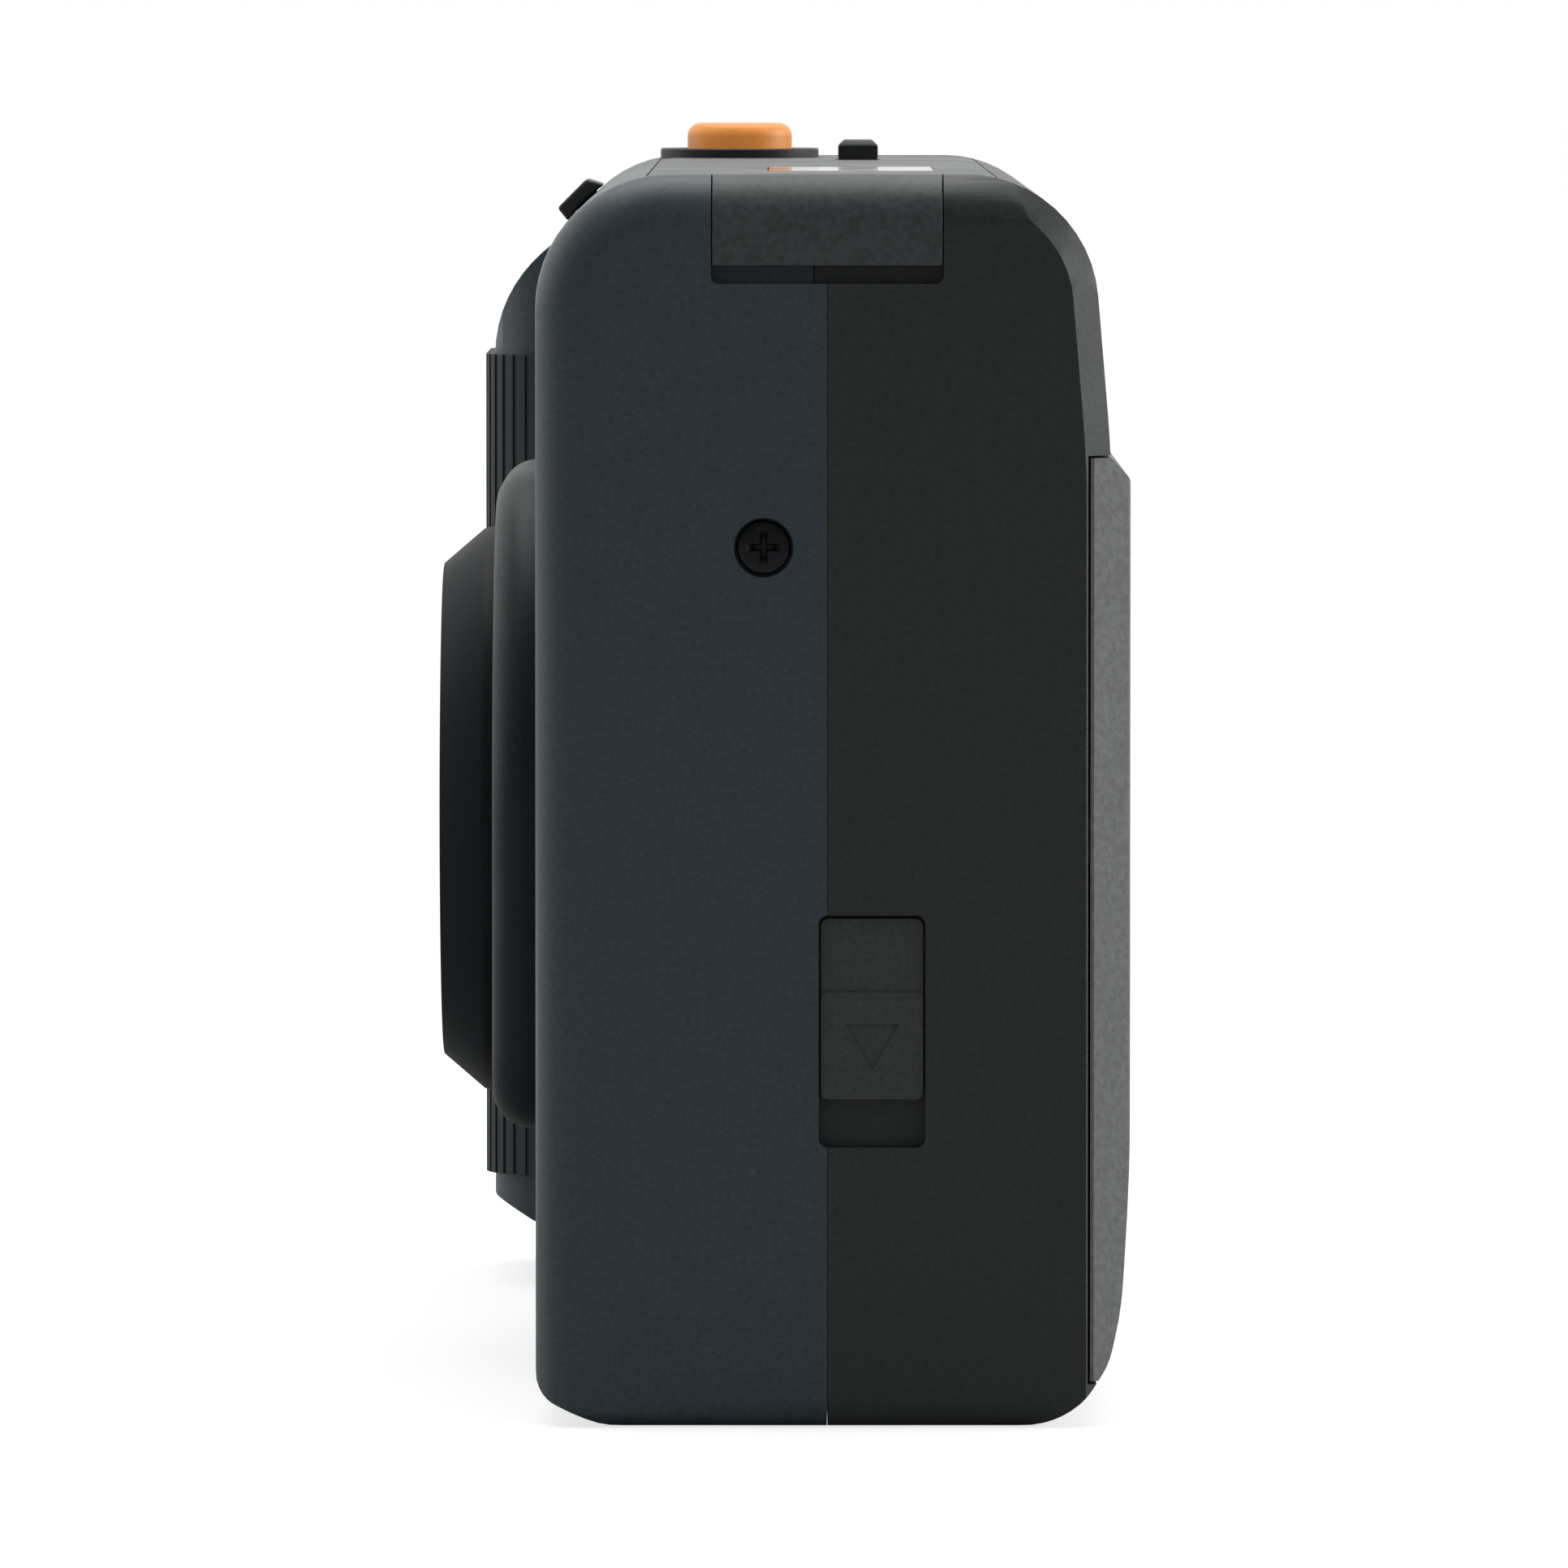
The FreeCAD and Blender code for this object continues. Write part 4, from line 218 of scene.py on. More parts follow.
def moulded(name, colour, roughness=0.5, grain=0.35, grain_size=0.00028, relief=0.00003,
            speckle=0.14, specular=0.35):
    """Moulded plastic: spark grain, slow mottling of its gloss and a few pale specks."""
    material, tree, surface, place = blank(name, colour, roughness, Specular_IOR_Level=specular)
    fine = noise(tree, place, grain_size, 4.0)
    slow = noise(tree, place, MOTTLE_SIZE, 2.0)
    tone = mixed(tree, ranged(tree, fine, GRAIN_DARK, GRAIN_LIGHT, 0.0, 1.0),
                 shade(colour, 1.0 - speckle), shade(colour, 1.0 + speckle))
    specks = add(tree, "ShaderNodeTexVoronoi", {"Vector": place, "Scale": SPECK_RATE})
    dust = ranged(tree, specks.outputs["Distance"], SPECK_CORE, SPECK_RIM, SPECK_STRENGTH, 0.0)
    tone = mixed(tree, dust, tone, shade(colour, SPECK_LIFT))
    tree.links.new(tone, surface.inputs["Base Color"])
    tree.links.new(ranged(tree, slow, NOISE_DARK, NOISE_LIGHT, roughness - 0.05, roughness + 0.06),
                   surface.inputs["Roughness"])
    bump = add(tree, "ShaderNodeBump", {"Height": fine, "Strength": grain, "Distance": relief})
    tree.links.new(bump.outputs["Normal"], surface.inputs["Normal"])
    return material


def metal(name, colour, roughness=0.3, stretch=(1.0, 1.0, 12.0), streak=0.0006):
    """Metal with fine drawn or turned streaks."""
    material, tree, surface, place = blank(name, colour, roughness, Metallic=1.0)
    drawn = add(tree, "ShaderNodeMapping", {"Vector": place, "Scale": stretch}).outputs["Vector"]
    lines = noise(tree, drawn, streak, 4.0)
    tree.links.new(mixed(tree, lines, shade(colour, 0.8), shade(colour, 1.15)),
                   surface.inputs["Base Color"])
    tree.links.new(ranged(tree, lines, NOISE_DARK, NOISE_LIGHT, roughness * 0.75, roughness * 1.3),
                   surface.inputs["Roughness"])
    bump = add(tree, "ShaderNodeBump",
               {"Height": lines, "Strength": 0.15, "Distance": METAL_RELIEF})
    tree.links.new(bump.outputs["Normal"], surface.inputs["Normal"])
    return material


def glass(name, colour, refraction=1.5, roughness=0.02, specular=0.5):
    """Clear or tinted glass with faint smears in its polish."""
    material, tree, surface, place = blank(name, colour, roughness, Transmission_Weight=1.0,
                                           IOR=refraction, Specular_IOR_Level=specular)
    smear = noise(tree, place, SMEAR_SIZE, 3.0)
    tree.links.new(ranged(tree, smear, 0.4, 0.75, roughness, roughness + 0.05),
                   surface.inputs["Roughness"])
    clean = ranged(tree, smear, NOISE_DARK, NOISE_LIGHT, 0.0, 1.0)
    tree.links.new(mixed(tree, clean, shade(colour, 0.96), shade(colour, 1.0)),
                   surface.inputs["Base Color"])
    return material


def rubber(name, colour):
    """Soft rubber: dull, with a fine pitted skin and rubbed crests."""
    material, tree, surface, place = blank(name, colour, 0.62, Specular_IOR_Level=0.4)
    pits = add(tree, "ShaderNodeTexVoronoi", {"Vector": place, "Scale": RUBBER_PIT_RATE})
    slow = noise(tree, place, RUBBER_MOTTLE_SIZE, 3.0)
    rubbed = ranged(tree, slow, NOISE_DARK, NOISE_LIGHT, 0.0, 1.0)
    tree.links.new(mixed(tree, rubbed, shade(colour, 0.82), shade(colour, 1.25)),
                   surface.inputs["Base Color"])
    tree.links.new(ranged(tree, slow, NOISE_DARK, NOISE_LIGHT, 0.55, 0.7),
                   surface.inputs["Roughness"])
    bump = add(tree, "ShaderNodeBump", {"Height": pits.outputs["Distance"], "Strength": 0.25,
                                        "Distance": RUBBER_RELIEF})
    tree.links.new(bump.outputs["Normal"], surface.inputs["Normal"])
    return material


# ---------------------------------------------------------------- meshes


def settled(mesh, angle=34.0):
    """Smooth shading with edges kept sharp over an angle, in degrees."""
    mesh.shade_smooth()
    mesh.set_sharp_from_angle(angle=math.radians(angle))
    return mesh


def fixed(holder):
    """The mesh that an object's modifiers give; the object itself is removed."""
    bpy.context.view_layer.update()
    graph = bpy.context.evaluated_depsgraph_get()
    mesh = bpy.data.meshes.new_from_object(holder.evaluated_get(graph))
    bpy.data.objects.remove(holder)
    return mesh


def placed(name, mesh):
    """A new object in the scene, at the origin."""
    thing = bpy.data.objects.new(name, mesh)
    bpy.context.scene.collection.objects.link(thing)
    return thing


def piece(name, mesh, body, materials, slot, *nodes):
    """A finished piece: it rides on a body and stands for the named CAD nodes."""
    thing = placed(name, mesh)
    mesh.materials.clear()
    for material in materials if isinstance(materials, (list, tuple)) else [materials]:
        mesh.materials.append(material)
    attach(thing, body)
    if nodes:
        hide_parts(*nodes)
    return thing


def merged(node):
    """A CAD node's mesh as a bmesh with its loose triangles joined and flat parts made whole."""
    shape = bmesh.new()
    shape.from_mesh(NODES[node].data)
    bmesh.ops.remove_doubles(shape, verts=shape.verts, dist=MERGE_DISTANCE)
    bmesh.ops.dissolve_limit(shape, angle_limit=math.radians(FLAT_ANGLE), verts=shape.verts,
                             edges=shape.edges)
    return shape


def softened(node, width, segments=2, angle=33.0):
    """A CAD node's shape with its sharp edges rounded over."""
    shape = merged(node)
    mesh = bpy.data.meshes.new(node + " softened")
    shape.to_mesh(mesh)
    shape.free()
    holder = placed("softening", mesh)
    bevel = holder.modifiers.new("Edges", "BEVEL")
    bevel.width = width
    bevel.segments = segments
    bevel.limit_method = "ANGLE"
    bevel.angle_limit = math.radians(angle)
    bevel.miter_outer = "MITER_ARC"
    bevel.material = 1
    weighted = holder.modifiers.new("Normals", "WEIGHTED_NORMAL")
    weighted.keep_sharp = True
    settled(mesh, 60.0)
    mesh.materials.append(None)
    mesh.materials.append(None)
    return fixed(holder)


# ---------------------------------------------------------------- geometry nodes


def tree_with(name, sockets):
    """A geometry tree with a shape in and out and named inputs.

    Each of the sockets is a name, a kind and a value.
    """
    tree = bpy.data.node_groups.new(name, "GeometryNodeTree")
    tree.interface.new_socket(name="Shape", in_out="INPUT", socket_type="NodeSocketGeometry")
    tree.interface.new_socket(name="Shape", in_out="OUTPUT", socket_type="NodeSocketGeometry")
    for label, kind, _ in sockets:
        tree.interface.new_socket(name=label, in_out="INPUT", socket_type="NodeSocket" + kind)
    entry = tree.nodes.new("NodeGroupInput")
    return tree, entry


def grown(name, tree, last, entry, sockets, mesh=None):
    """The mesh that a finished tree gives; last is the output that holds its shape."""
    real = add(tree, "GeometryNodeRealizeInstances", {"Geometry": last})
    painted = add(tree, "GeometryNodeSetMaterial",
                  {"Geometry": real.outputs["Geometry"], "Material": entry.outputs["Finish"]})
    out = tree.nodes.new("NodeGroupOutput")
    tree.links.new(painted.outputs["Geometry"], out.inputs["Shape"])
    holder = placed(name, mesh or bpy.data.meshes.new(name))
    modifier = holder.modifiers.new(name, "NODES")
    modifier.node_group = tree
    ids = {item.name: item.identifier for item in tree.interface.items_tree
           if item.in_out == "INPUT"}
    for label, _, value in sockets:
        modifier[ids[label]] = value
    return fixed(holder)


def coil_mesh(name, finish, turns, radius, wire, height):
    """A standing wire coil on the ground plane, round the Z axis."""
    sockets = [("Turns", "Float", float(turns)), ("Coil radius", "Float", radius),
               ("Wire radius", "Float", wire), ("Height", "Float", height),
               ("Finish", "Material", finish)]
    tree, entry = tree_with(name, sockets)
    path = add(tree, "GeometryNodeCurveSpiral",
               {"Resolution": COIL_STEPS, "Rotations": entry.outputs["Turns"],
                "Start Radius": entry.outputs["Coil radius"],
                "End Radius": entry.outputs["Coil radius"], "Height": entry.outputs["Height"]})
    wire_ring = add(tree, "GeometryNodeCurvePrimitiveCircle",
                    {"Resolution": COIL_SIDES, "Radius": entry.outputs["Wire radius"]})
    swept = add(tree, "GeometryNodeCurveToMesh",
                {"Curve": path.outputs["Curve"], "Profile Curve": wire_ring.outputs["Curve"],
                 "Fill Caps": True})
    return grown(name, tree, swept.outputs["Mesh"], entry, sockets)


def scattered(name, finish, item, places):
    """Copies of an object at places; each place is a point and a turn about X, Y and Z."""
    points = bpy.data.meshes.new(name)
    points.from_pydata([place for place, _ in places], [], [])
    turn = points.attributes.new("turn", "FLOAT_VECTOR", "POINT")
    for entry_data, (_, angles) in zip(turn.data, places):
        entry_data.vector = angles
    sockets = [("Item", "Object", item), ("Finish", "Material", finish)]
    tree, entry = tree_with(name, sockets)
    turned = add(tree, "GeometryNodeInputNamedAttribute", {"Name": "turn"},
                 data_type="FLOAT_VECTOR")
    info = add(tree, "GeometryNodeObjectInfo", {"Object": entry.outputs["Item"]})
    copies = add(tree, "GeometryNodeInstanceOnPoints",
                 {"Points": entry.outputs["Shape"], "Instance": info.outputs["Geometry"],
                  "Rotation": turned.outputs["Attribute"]})
    mesh = grown(name, tree, copies.outputs["Instances"], entry, sockets, points)
    bpy.data.objects.remove(item)
    return settled(mesh)


def swept_round(name, finish, profile, radius, steps):
    """A closed profile carried round the Z axis; profile is (radius, height) pairs."""
    loop = bpy.data.meshes.new(name)
    count = len(profile)
    loop.from_pydata([(r - radius, z, 0.0) for r, z in profile],
                     [(k, (k + 1) % count) for k in range(count)], [])
    sockets = [("Turning radius", "Float", radius), ("Steps", "Int", steps),
               ("Finish", "Material", finish)]
    tree, entry = tree_with(name, sockets)
    circle = add(tree, "GeometryNodeCurvePrimitiveCircle",
                 {"Resolution": entry.outputs["Steps"], "Radius": entry.outputs["Turning radius"]})
    line = add(tree, "GeometryNodeMeshToCurve", {"Mesh": entry.outputs["Shape"]})
    swept = add(tree, "GeometryNodeCurveToMesh",
                {"Curve": circle.outputs["Curve"], "Profile Curve": line.outputs["Curve"]})
    return grown(name, tree, swept.outputs["Mesh"], entry, sockets, loop)


# ---------------------------------------------------------------- settings


def colour_of(label, hint, value):
    """A colour setting."""
    return FloatVectorProperty(name=label, description=hint, subtype="COLOR", size=3, min=0.0,
                               max=1.0, default=value)


def length_of(label, hint, value):
    """A length setting, in metres."""
    return FloatProperty(name=label, description=hint, unit="LENGTH", precision=5, min=0.0,
                         default=value)


class CaseSettings(bpy.types.PropertyGroup):
    """Colours of the case mouldings and the rounding of their edges."""
    front: colour_of("Front case", "Plastic of the front moulding", (0.022, 0.034, 0.042))
    rear: colour_of("Rear case", "Plastic of the rear moulding", (0.0150, 0.0180, 0.0190))
    cover: colour_of("Top cover", "Plastic of the top cover and its tabs", (0.030, 0.035, 0.0365))
    plinth: colour_of("Lens plinth", "Plastic of the raised plate round the lens",
                      (0.010, 0.0140, 0.0165))
    edge: length_of("Edge rounding", "Width of the rounding along the case's edges", 0.00016)


class LensSettings(bpy.types.PropertyGroup):
    """Finish and form of the lens ring and the pieces inside it."""
    ring: colour_of("Ring", "Plastic of the lens ring", (0.006, 0.0085, 0.0105))
    tint: colour_of("Glass", "Tint of the lens elements", (0.78, 0.86, 0.9))
    steps: IntProperty(name="Baffle steps", description="Concentric steps on the ring's face",
                       default=7, min=1, max=20)
    step_depth: length_of("Step depth", "Depth of one step's groove", 0.00018)


class ControlSettings(bpy.types.PropertyGroup):
    """Colours of what a finger works."""
    release: colour_of("Shutter button", "Plastic of the shutter button", (0.80, 0.28, 0.035))
    dark: colour_of("Controls", "Plastic of the latch, the switch and the mode button",
                    (0.015, 0.0165, 0.017))
    edge: length_of("Edge rounding", "Width of the rounding on the controls", 0.00018)


class GripSettings(bpy.types.PropertyGroup):
    """The rubber pad on the grip."""
    pad: colour_of("Rubber", "Colour of the rubber", (0.018, 0.026, 0.027))


class DoorSettings(bpy.types.PropertyGroup):
    """The back door's panel."""
    # The panel's pale grey is a painted reflection: the door is near-black grained plastic, and
    # the grey stands in for the bright light its sloping edge reflects
    panel: colour_of("Door", "Plastic of the door panel", (0.125, 0.132, 0.128))
    grain: length_of("Grain", "Size of the door's moulded grain", 0.00042)


class StageSettings(bpy.types.PropertyGroup):
    """Light, floor and camera."""
    floor: colour_of("Floor", "Colour of the floor", (0.35, 0.35, 0.35))
    level: FloatProperty(name="Light level", description="Strength of the soft light all round",
                         default=1.0, min=0.0)
    distance: length_of("Camera distance", "Distance from the camera to the near side", 0.9)


# ---------------------------------------------------------------- case


def case_pair(name, colour, **finish):
    """A moulding's finish and the slightly polished one of its edges."""
    rubbed = dict(finish)
    rubbed["roughness"] = finish.get("roughness", 0.5) - 0.1
    return [moulded(name, colour, **finish), moulded(name + " edge", colour, **rubbed)]


def make_case(settings):
    """Front and rear mouldings, the top cover and the lens surround."""
    front = case_pair("front case plastic", settings.front, roughness=0.36, specular=0.4)
    rear = case_pair("rear case plastic", settings.rear, roughness=0.4, grain=0.4, specular=0.4)
    cover = case_pair("top cover plastic", settings.cover, roughness=0.4, grain=0.5,
                      grain_size=0.0004, speckle=0.2, specular=0.4)
    plinth = case_pair("lens plinth plastic", settings.plinth, roughness=0.42, specular=0.18)
    piece("front_case", softened("front_shell", settings.edge), CASE, front, "front_case",
          "front_shell")
    piece("rear_case", softened("rear_shell", settings.edge), CASE, rear, "rear_case",
          "rear_shell")
    piece("top_plate", softened("top_cover", settings.edge), CASE, cover, "cover", "top_cover")
    piece("lens_plinth", softened("lens_surround", settings.edge), CASE, plinth,
          "front_case", "lens_surround")
    piece("battery_hatch", softened("battery_door", settings.edge), "battery_door", front,
          "front_case", "battery_door")


# ---------------------------------------------------------------- screws


def screw_mesh():
    """One cross head screw, its head's face at z = 0, pointing down."""
    radius, shank = SCREW_HEAD_RADIUS, SCREW_SHANK_RADIUS
    shape = bmesh.new()
    wide, reach = 0.13 * radius, 0.62 * radius
    quarter = [(reach, 0.0), (reach, wide), (0.42 * radius, wide), (0.26 * radius, wide),
               (wide, wide), (wide, 0.26 * radius), (wide, 0.42 * radius), (wide, reach)]
    cross = []
    for k in range(4):
        c, s = round(math.cos(k * math.pi / 2)), round(math.sin(k * math.pi / 2))
        cross += [(x * c - y * s, x * s + y * c) for x, y in quarter]
    angles = [math.atan2(y, x) for x, y in cross]

    def ring(r, z):
        return [shape.verts.new((r * math.cos(a), r * math.sin(a), z)) for a in angles]

    floor = [shape.verts.new((x * 0.55, y * 0.55, -SCREW_CROSS_DEPTH)) for x, y in cross]
    lip = [shape.verts.new((x, y, -0.03 * radius)) for x, y in cross]
    top = [shape.verts.new((x * 1.07, y * 1.07, 0.0)) for x, y in cross]
    rings = [floor, lip, top, ring(0.82 * radius, 0.0), ring(0.93 * radius, -0.03 * radius),
             ring(radius, -0.13 * radius), ring(radius, -SCREW_HEAD_HEIGHT),
             ring(shank, -SCREW_HEAD_HEIGHT)]
    threaded = SCREW_LENGTH - SCREW_POINT
    for k in range(SCREW_TURNS):
        z = -SCREW_HEAD_HEIGHT - threaded * (k + 0.5) / SCREW_TURNS
        rings += [ring(shank, z), ring(shank * 0.78, z - threaded * 0.5 / SCREW_TURNS)]
    rings.append(ring(shank * 0.3, -SCREW_HEAD_HEIGHT - SCREW_LENGTH))
    for low, high in zip(rings, rings[1:]):
        for k in range(len(angles)):
            n = (k + 1) % len(angles)
            shape.faces.new((low[k], low[n], high[n], high[k]))
    shape.faces.new(floor)
    shape.faces.new(rings[-1])
    bmesh.ops.recalc_face_normals(shape, faces=shape.faces)
    mesh = bpy.data.meshes.new("screw")
    shape.to_mesh(mesh)
    shape.free()
    return mesh


def screw_places():
    """Where the CAD screws' heads are: a point on each head's face and a turn."""
    shape = bmesh.new()
    shape.from_mesh(NODES["case_screws"].data)
    bmesh.ops.remove_doubles(shape, verts=shape.verts, dist=MERGE_DISTANCE)
    seen, places = set(), []
    for start in shape.verts:
        if start in seen:
            continue
        group, todo = [], [start]
        seen.add(start)
        while todo:
            corner = todo.pop()
            group.append(corner.co)
            for edge in corner.link_edges:
                other = edge.other_vert(corner)
                if other not in seen:
                    seen.add(other)
                    todo.append(other)
        low = Vector([min(p[i] for p in group) for i in range(3)])
        high = Vector([max(p[i] for p in group) for i in range(3)])
        middle = (low + high) / 2
        if high.z - low.z > high.x - low.x:
            places.append(((middle.x, middle.y, low.z), (math.pi, 0.0, 0.0)))
        elif middle.x > 0:
            places.append(((high.x, middle.y, middle.z), (0.0, math.pi / 2, 0.0)))
        else:
            places.append(((low.x, middle.y, middle.z), (0.0, -math.pi / 2, 0.0)))
    shape.free()
    return places


def make_screws():
    """The case screws, one at each CAD screw's head."""
    finish = metal("blackened steel", (0.03, 0.031, 0.034), 0.42)
    screw = placed("one screw", screw_mesh())
    mesh = scattered("case screw set", finish, screw, screw_places())
    piece("case_screw_set", mesh, CASE, finish, "dark_steel", "case_screws")


# ---------------------------------------------------------------- lens


def ring_profile(settings):
    """The lens ring's closed outline as (radius, distance behind its front face)."""
    deep = RING_HIGH.y - RING_LOW.y
    base = (RING_HIGH.x - RING_LOW.x) / 2
    front, spigot, soft = base - RING_TAPER, base - RING_SPIGOT_STEP, RING_SOFT
    edge = RING_HEIGHT - RING_STRAIGHT
    profile = [(front - soft * 2, 0.0), (front - soft * 0.6, soft * 0.25), (front, soft),
               (base - soft * 0.5, edge - soft), (base, edge + soft), (base, RING_HEIGHT),
               (spigot, RING_HEIGHT), (spigot, deep), (RING_HOLLOW, deep),
               (RING_HOLLOW, RING_FACE_BACK), (RING_OPENING, RING_FACE_BACK),
               (RING_OPENING, RING_DISH + soft * 1.5),
               (RING_OPENING + soft * 0.5, RING_DISH + soft * 0.5)]
    inner, outer = RING_OPENING + RING_LIP, front - RING_RIM
    wide = (outer - inner) / settings.steps
    fall = RING_DISH / settings.steps
    groove = settings.step_depth * 0.6
    profile.append((inner, RING_DISH))
    for k in range(settings.steps):
        r, y = inner + k * wide, RING_DISH - k * fall
        profile += [(r + wide * 0.30, y), (r + wide * 0.42, y + groove),
                    (r + wide * 0.58, y + groove), (r + wide * 0.70, y - fall * 0.4),
                    (r + wide, y - fall)]
    profile.append((outer + soft, 0.0))
    return profile


def make_lens(settings):
    """Lens ring, barrier, shutter, cells and glass."""
    ring = moulded("lens ring plastic", settings.ring, 0.5, grain=0.2, grain_size=0.00022,
                   specular=0.13)
    mesh = swept_round("lens ring", ring, ring_profile(settings), RING_SWEEP_RADIUS,
                       RING_SWEEP_STEPS)
    facing_front = (Matrix.Translation((RING_MIDDLE.x, RING_LOW.y, RING_MIDDLE.z))
                    @ Matrix.Rotation(math.pi / 2, 4, "X"))
    shape = bmesh.new()
    shape.from_mesh(mesh)
    bmesh.ops.remove_doubles(shape, verts=shape.verts, dist=SWEEP_MERGE_DISTANCE)
    bmesh.ops.recalc_face_normals(shape, faces=shape.faces)
    shape.transform(facing_front)
    shape.to_mesh(mesh)
    shape.free()
    piece("lens_ring_turned", settled(mesh), CASE, ring, "ring_black", "lens_ring")
    blade = metal("blade steel", (0.045, 0.045, 0.05), 0.38, (1.0, 1.0, 6.0))
    black = moulded("inner black plastic", (0.008, 0.008, 0.009), 0.55)
    for kind in ("barrier", "shutter"):
        for side in ("upper", "lower"):
            node = kind + "_blade_" + side
            piece(node + "_leaf", softened(node, BLADE_EDGE, 1), kind + "_" + side, blade,
                  "dark_steel", node)
    for name in ("barrier_plate", "front_lens_cell", "shutter_housing", "rear_lens_cell"):
        painted(name, black)
    coated = glass("coated lens glass", settings.tint, 1.6)
    for name in ("front_lens", "middle_lens", "rear_lens"):
        painted(name, coated)


def painted(name, material):
    """Give a CAD node that is shown as it is its material."""
    data = NODES[name].data
    data.materials.clear()
    data.materials.append(material)


# ---------------------------------------------------------------- controls


def make_shutter_button(settings):
    """Orange button and the collar round it."""
    orange = moulded("orange button plastic", settings.release, 0.36, grain=0.12, speckle=0.05,
                     specular=0.5)
    dark = moulded("collar plastic", settings.dark, 0.42)
    piece("release_button", softened("shutter_button", settings.edge, 3), "shutter_button", orange,
          "button_orange", "shutter_button")
    piece("release_collar", softened("button_collar", settings.edge / 2, 2), CASE, dark,
          "control_grey", "button_collar")
    steel = metal("spring steel", (0.52, 0.52, 0.54), 0.28)
    spring("release_coil", "shutter_button_spring", steel, RELEASE_WIRE)
    spring("latch_coil", "latch_spring", steel, LATCH_WIRE)


def spring(name, node, finish, wire):
    """A wire coil in a CAD spring's place, riding on the spring's body."""
    low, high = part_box(node)
    radius, length = (high.x - low.x) / 2 - wire, high.z - low.z
    mesh = coil_mesh(name, finish, COIL_TURNS, radius, wire, length - 2 * wire)
    mesh.transform(Matrix.Translation(((low.x + high.x) / 2, (low.y + high.y) / 2, low.z + wire)))
    home = NODES[node]["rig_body"]
    thing = piece(name, settled(mesh, 60.0), home, finish, "steel", node)
    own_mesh(thing)


def make_small_controls(settings):
    """Mode button, main switch and the door latch."""
    # The latch's paler colour is painted light: the dark control plastic lifted to stand in for
    # the light on its dished pad
    pale = tuple(c * LATCH_PAINTED_LIGHT for c in settings.dark)
    dark = [moulded("control plastic", settings.dark, 0.4, grain=0.2),
            moulded("control plastic edge", settings.dark, 0.32, grain=0.1)]
    latch = [moulded("latch plastic", pale, 0.42, grain=0.2),
             moulded("latch plastic edge", pale, 0.34, grain=0.1)]
    piece("mode_key", softened("mode_button", settings.edge / 2), "mode_button", dark,
          "control_grey", "mode_button")
    piece("switch_knob", softened("main_switch", settings.edge), "main_switch", dark,
          "control_grey", "main_switch")
    piece("latch_key", softened("latch_slider", settings.edge), "latch", latch,
          "control_grey", "latch_slider")


# ---------------------------------------------------------------- grip


def make_grip(settings):
    """Ribbed rubber pad."""
    skin = rubber("grip rubber", settings.pad)
    piece("grip_rubber_pad", softened("grip_pad", PAD_EDGE, 2, 50.0), CASE, skin, "grip_rubber",
          "grip_pad")


# ---------------------------------------------------------------- door


def make_door(settings):
    """Back door with its seal, pressure plate and pressure spring; its film window is finished
    with the windows.
    """
    # The panel colour is a painted reflection: pale grey standing in for the bright light on the
    # near-black door's sloping edge
    panel = case_pair("door plastic", settings.panel, roughness=0.5, grain=0.65,
                      grain_size=settings.grain, relief=0.00004, speckle=0.14)
    piece("door_panel", softened("back_door", DOOR_EDGE), "back_door", panel, "door_panel",
          "back_door")
    painted("door_seal", moulded("seal foam", (0.015, 0.015, 0.015), 0.95, grain=1.0,
                                 grain_size=0.0005, relief=0.0002, specular=0.1))
    painted("pressure_plate", metal("black plate", (0.02, 0.02, 0.022), 0.35, (1.0, 1.0, 9.0)))
    painted("pressure_spring", metal("leaf steel", (0.5, 0.5, 0.52), 0.3, (9.0, 1.0, 1.0)))


# ---------------------------------------------------------------- windows and the rest


def make_windows():
    """Windows, display and finder glass."""
    clear = glass("smoked window", (0.30, 0.33, 0.35), 1.49, 0.06, 0.25)
    plain = glass("clear window", (0.85, 0.88, 0.9), 1.49)
    optic = glass("finder glass", (0.86, 0.9, 0.92), 1.52)
    for name in ("counter_window", "autofocus_windows", "film_window"):
        painted(name, clear)
    for name in ("finder_window", "flash_window", "flash_tube"):
        painted(name, plain)
    for name in ("finder_objective", "finder_eyepiece"):
        painted(name, optic)
    painted("counter_panel", moulded("display panel", (0.26, 0.30, 0.25), 0.25, grain=0.05,
                                     speckle=0.04, specular=0.5))


def make_inside():
    """Finishes of the pieces inside the case."""
    black = moulded("chassis plastic", (0.009, 0.009, 0.010), 0.5, grain=0.5, grain_size=0.0005)
    white = moulded("acetal", (0.62, 0.61, 0.56), 0.42, grain=0.1, speckle=0.04, specular=0.5)
    steel = metal("bright steel", (0.55, 0.55, 0.56), 0.28)
    brass = metal("turned brass", (0.62, 0.44, 0.18), 0.26, (1.0, 1.0, 10.0))
    mirror = metal("reflector tin", (0.82, 0.82, 0.82), 0.12, (8.0, 1.0, 1.0))
    board = moulded("board lacquer", (0.018, 0.11, 0.05), 0.3, grain=0.15, grain_size=0.0008)
    sleeve = moulded("cell sleeve", (0.36, 0.28, 0.10), 0.3, grain=0.05, speckle=0.05,
                     specular=0.5)
    finishes = {
        black: ("chassis", "takeup_spool", "sprocket", "finder_housing", "autofocus_module",
                "battery_box", "flash_capacitor"),
        white: ("reduction_gear", "rewind_fork", "transfer_gear_1", "transfer_gear_2",
                "transfer_gear_3"),
        steel: ("film_motor", "hinge_pin", "battery_contact", "battery_door_contact"),
        brass: ("motor_pinion", "tripod_socket"),
        mirror: ("flash_reflector",), board: ("circuit_board",), sleeve: ("battery",),
    }
    for finish, names in finishes.items():
        for name in names:
            painted(name, finish)


# ---------------------------------------------------------------- stage


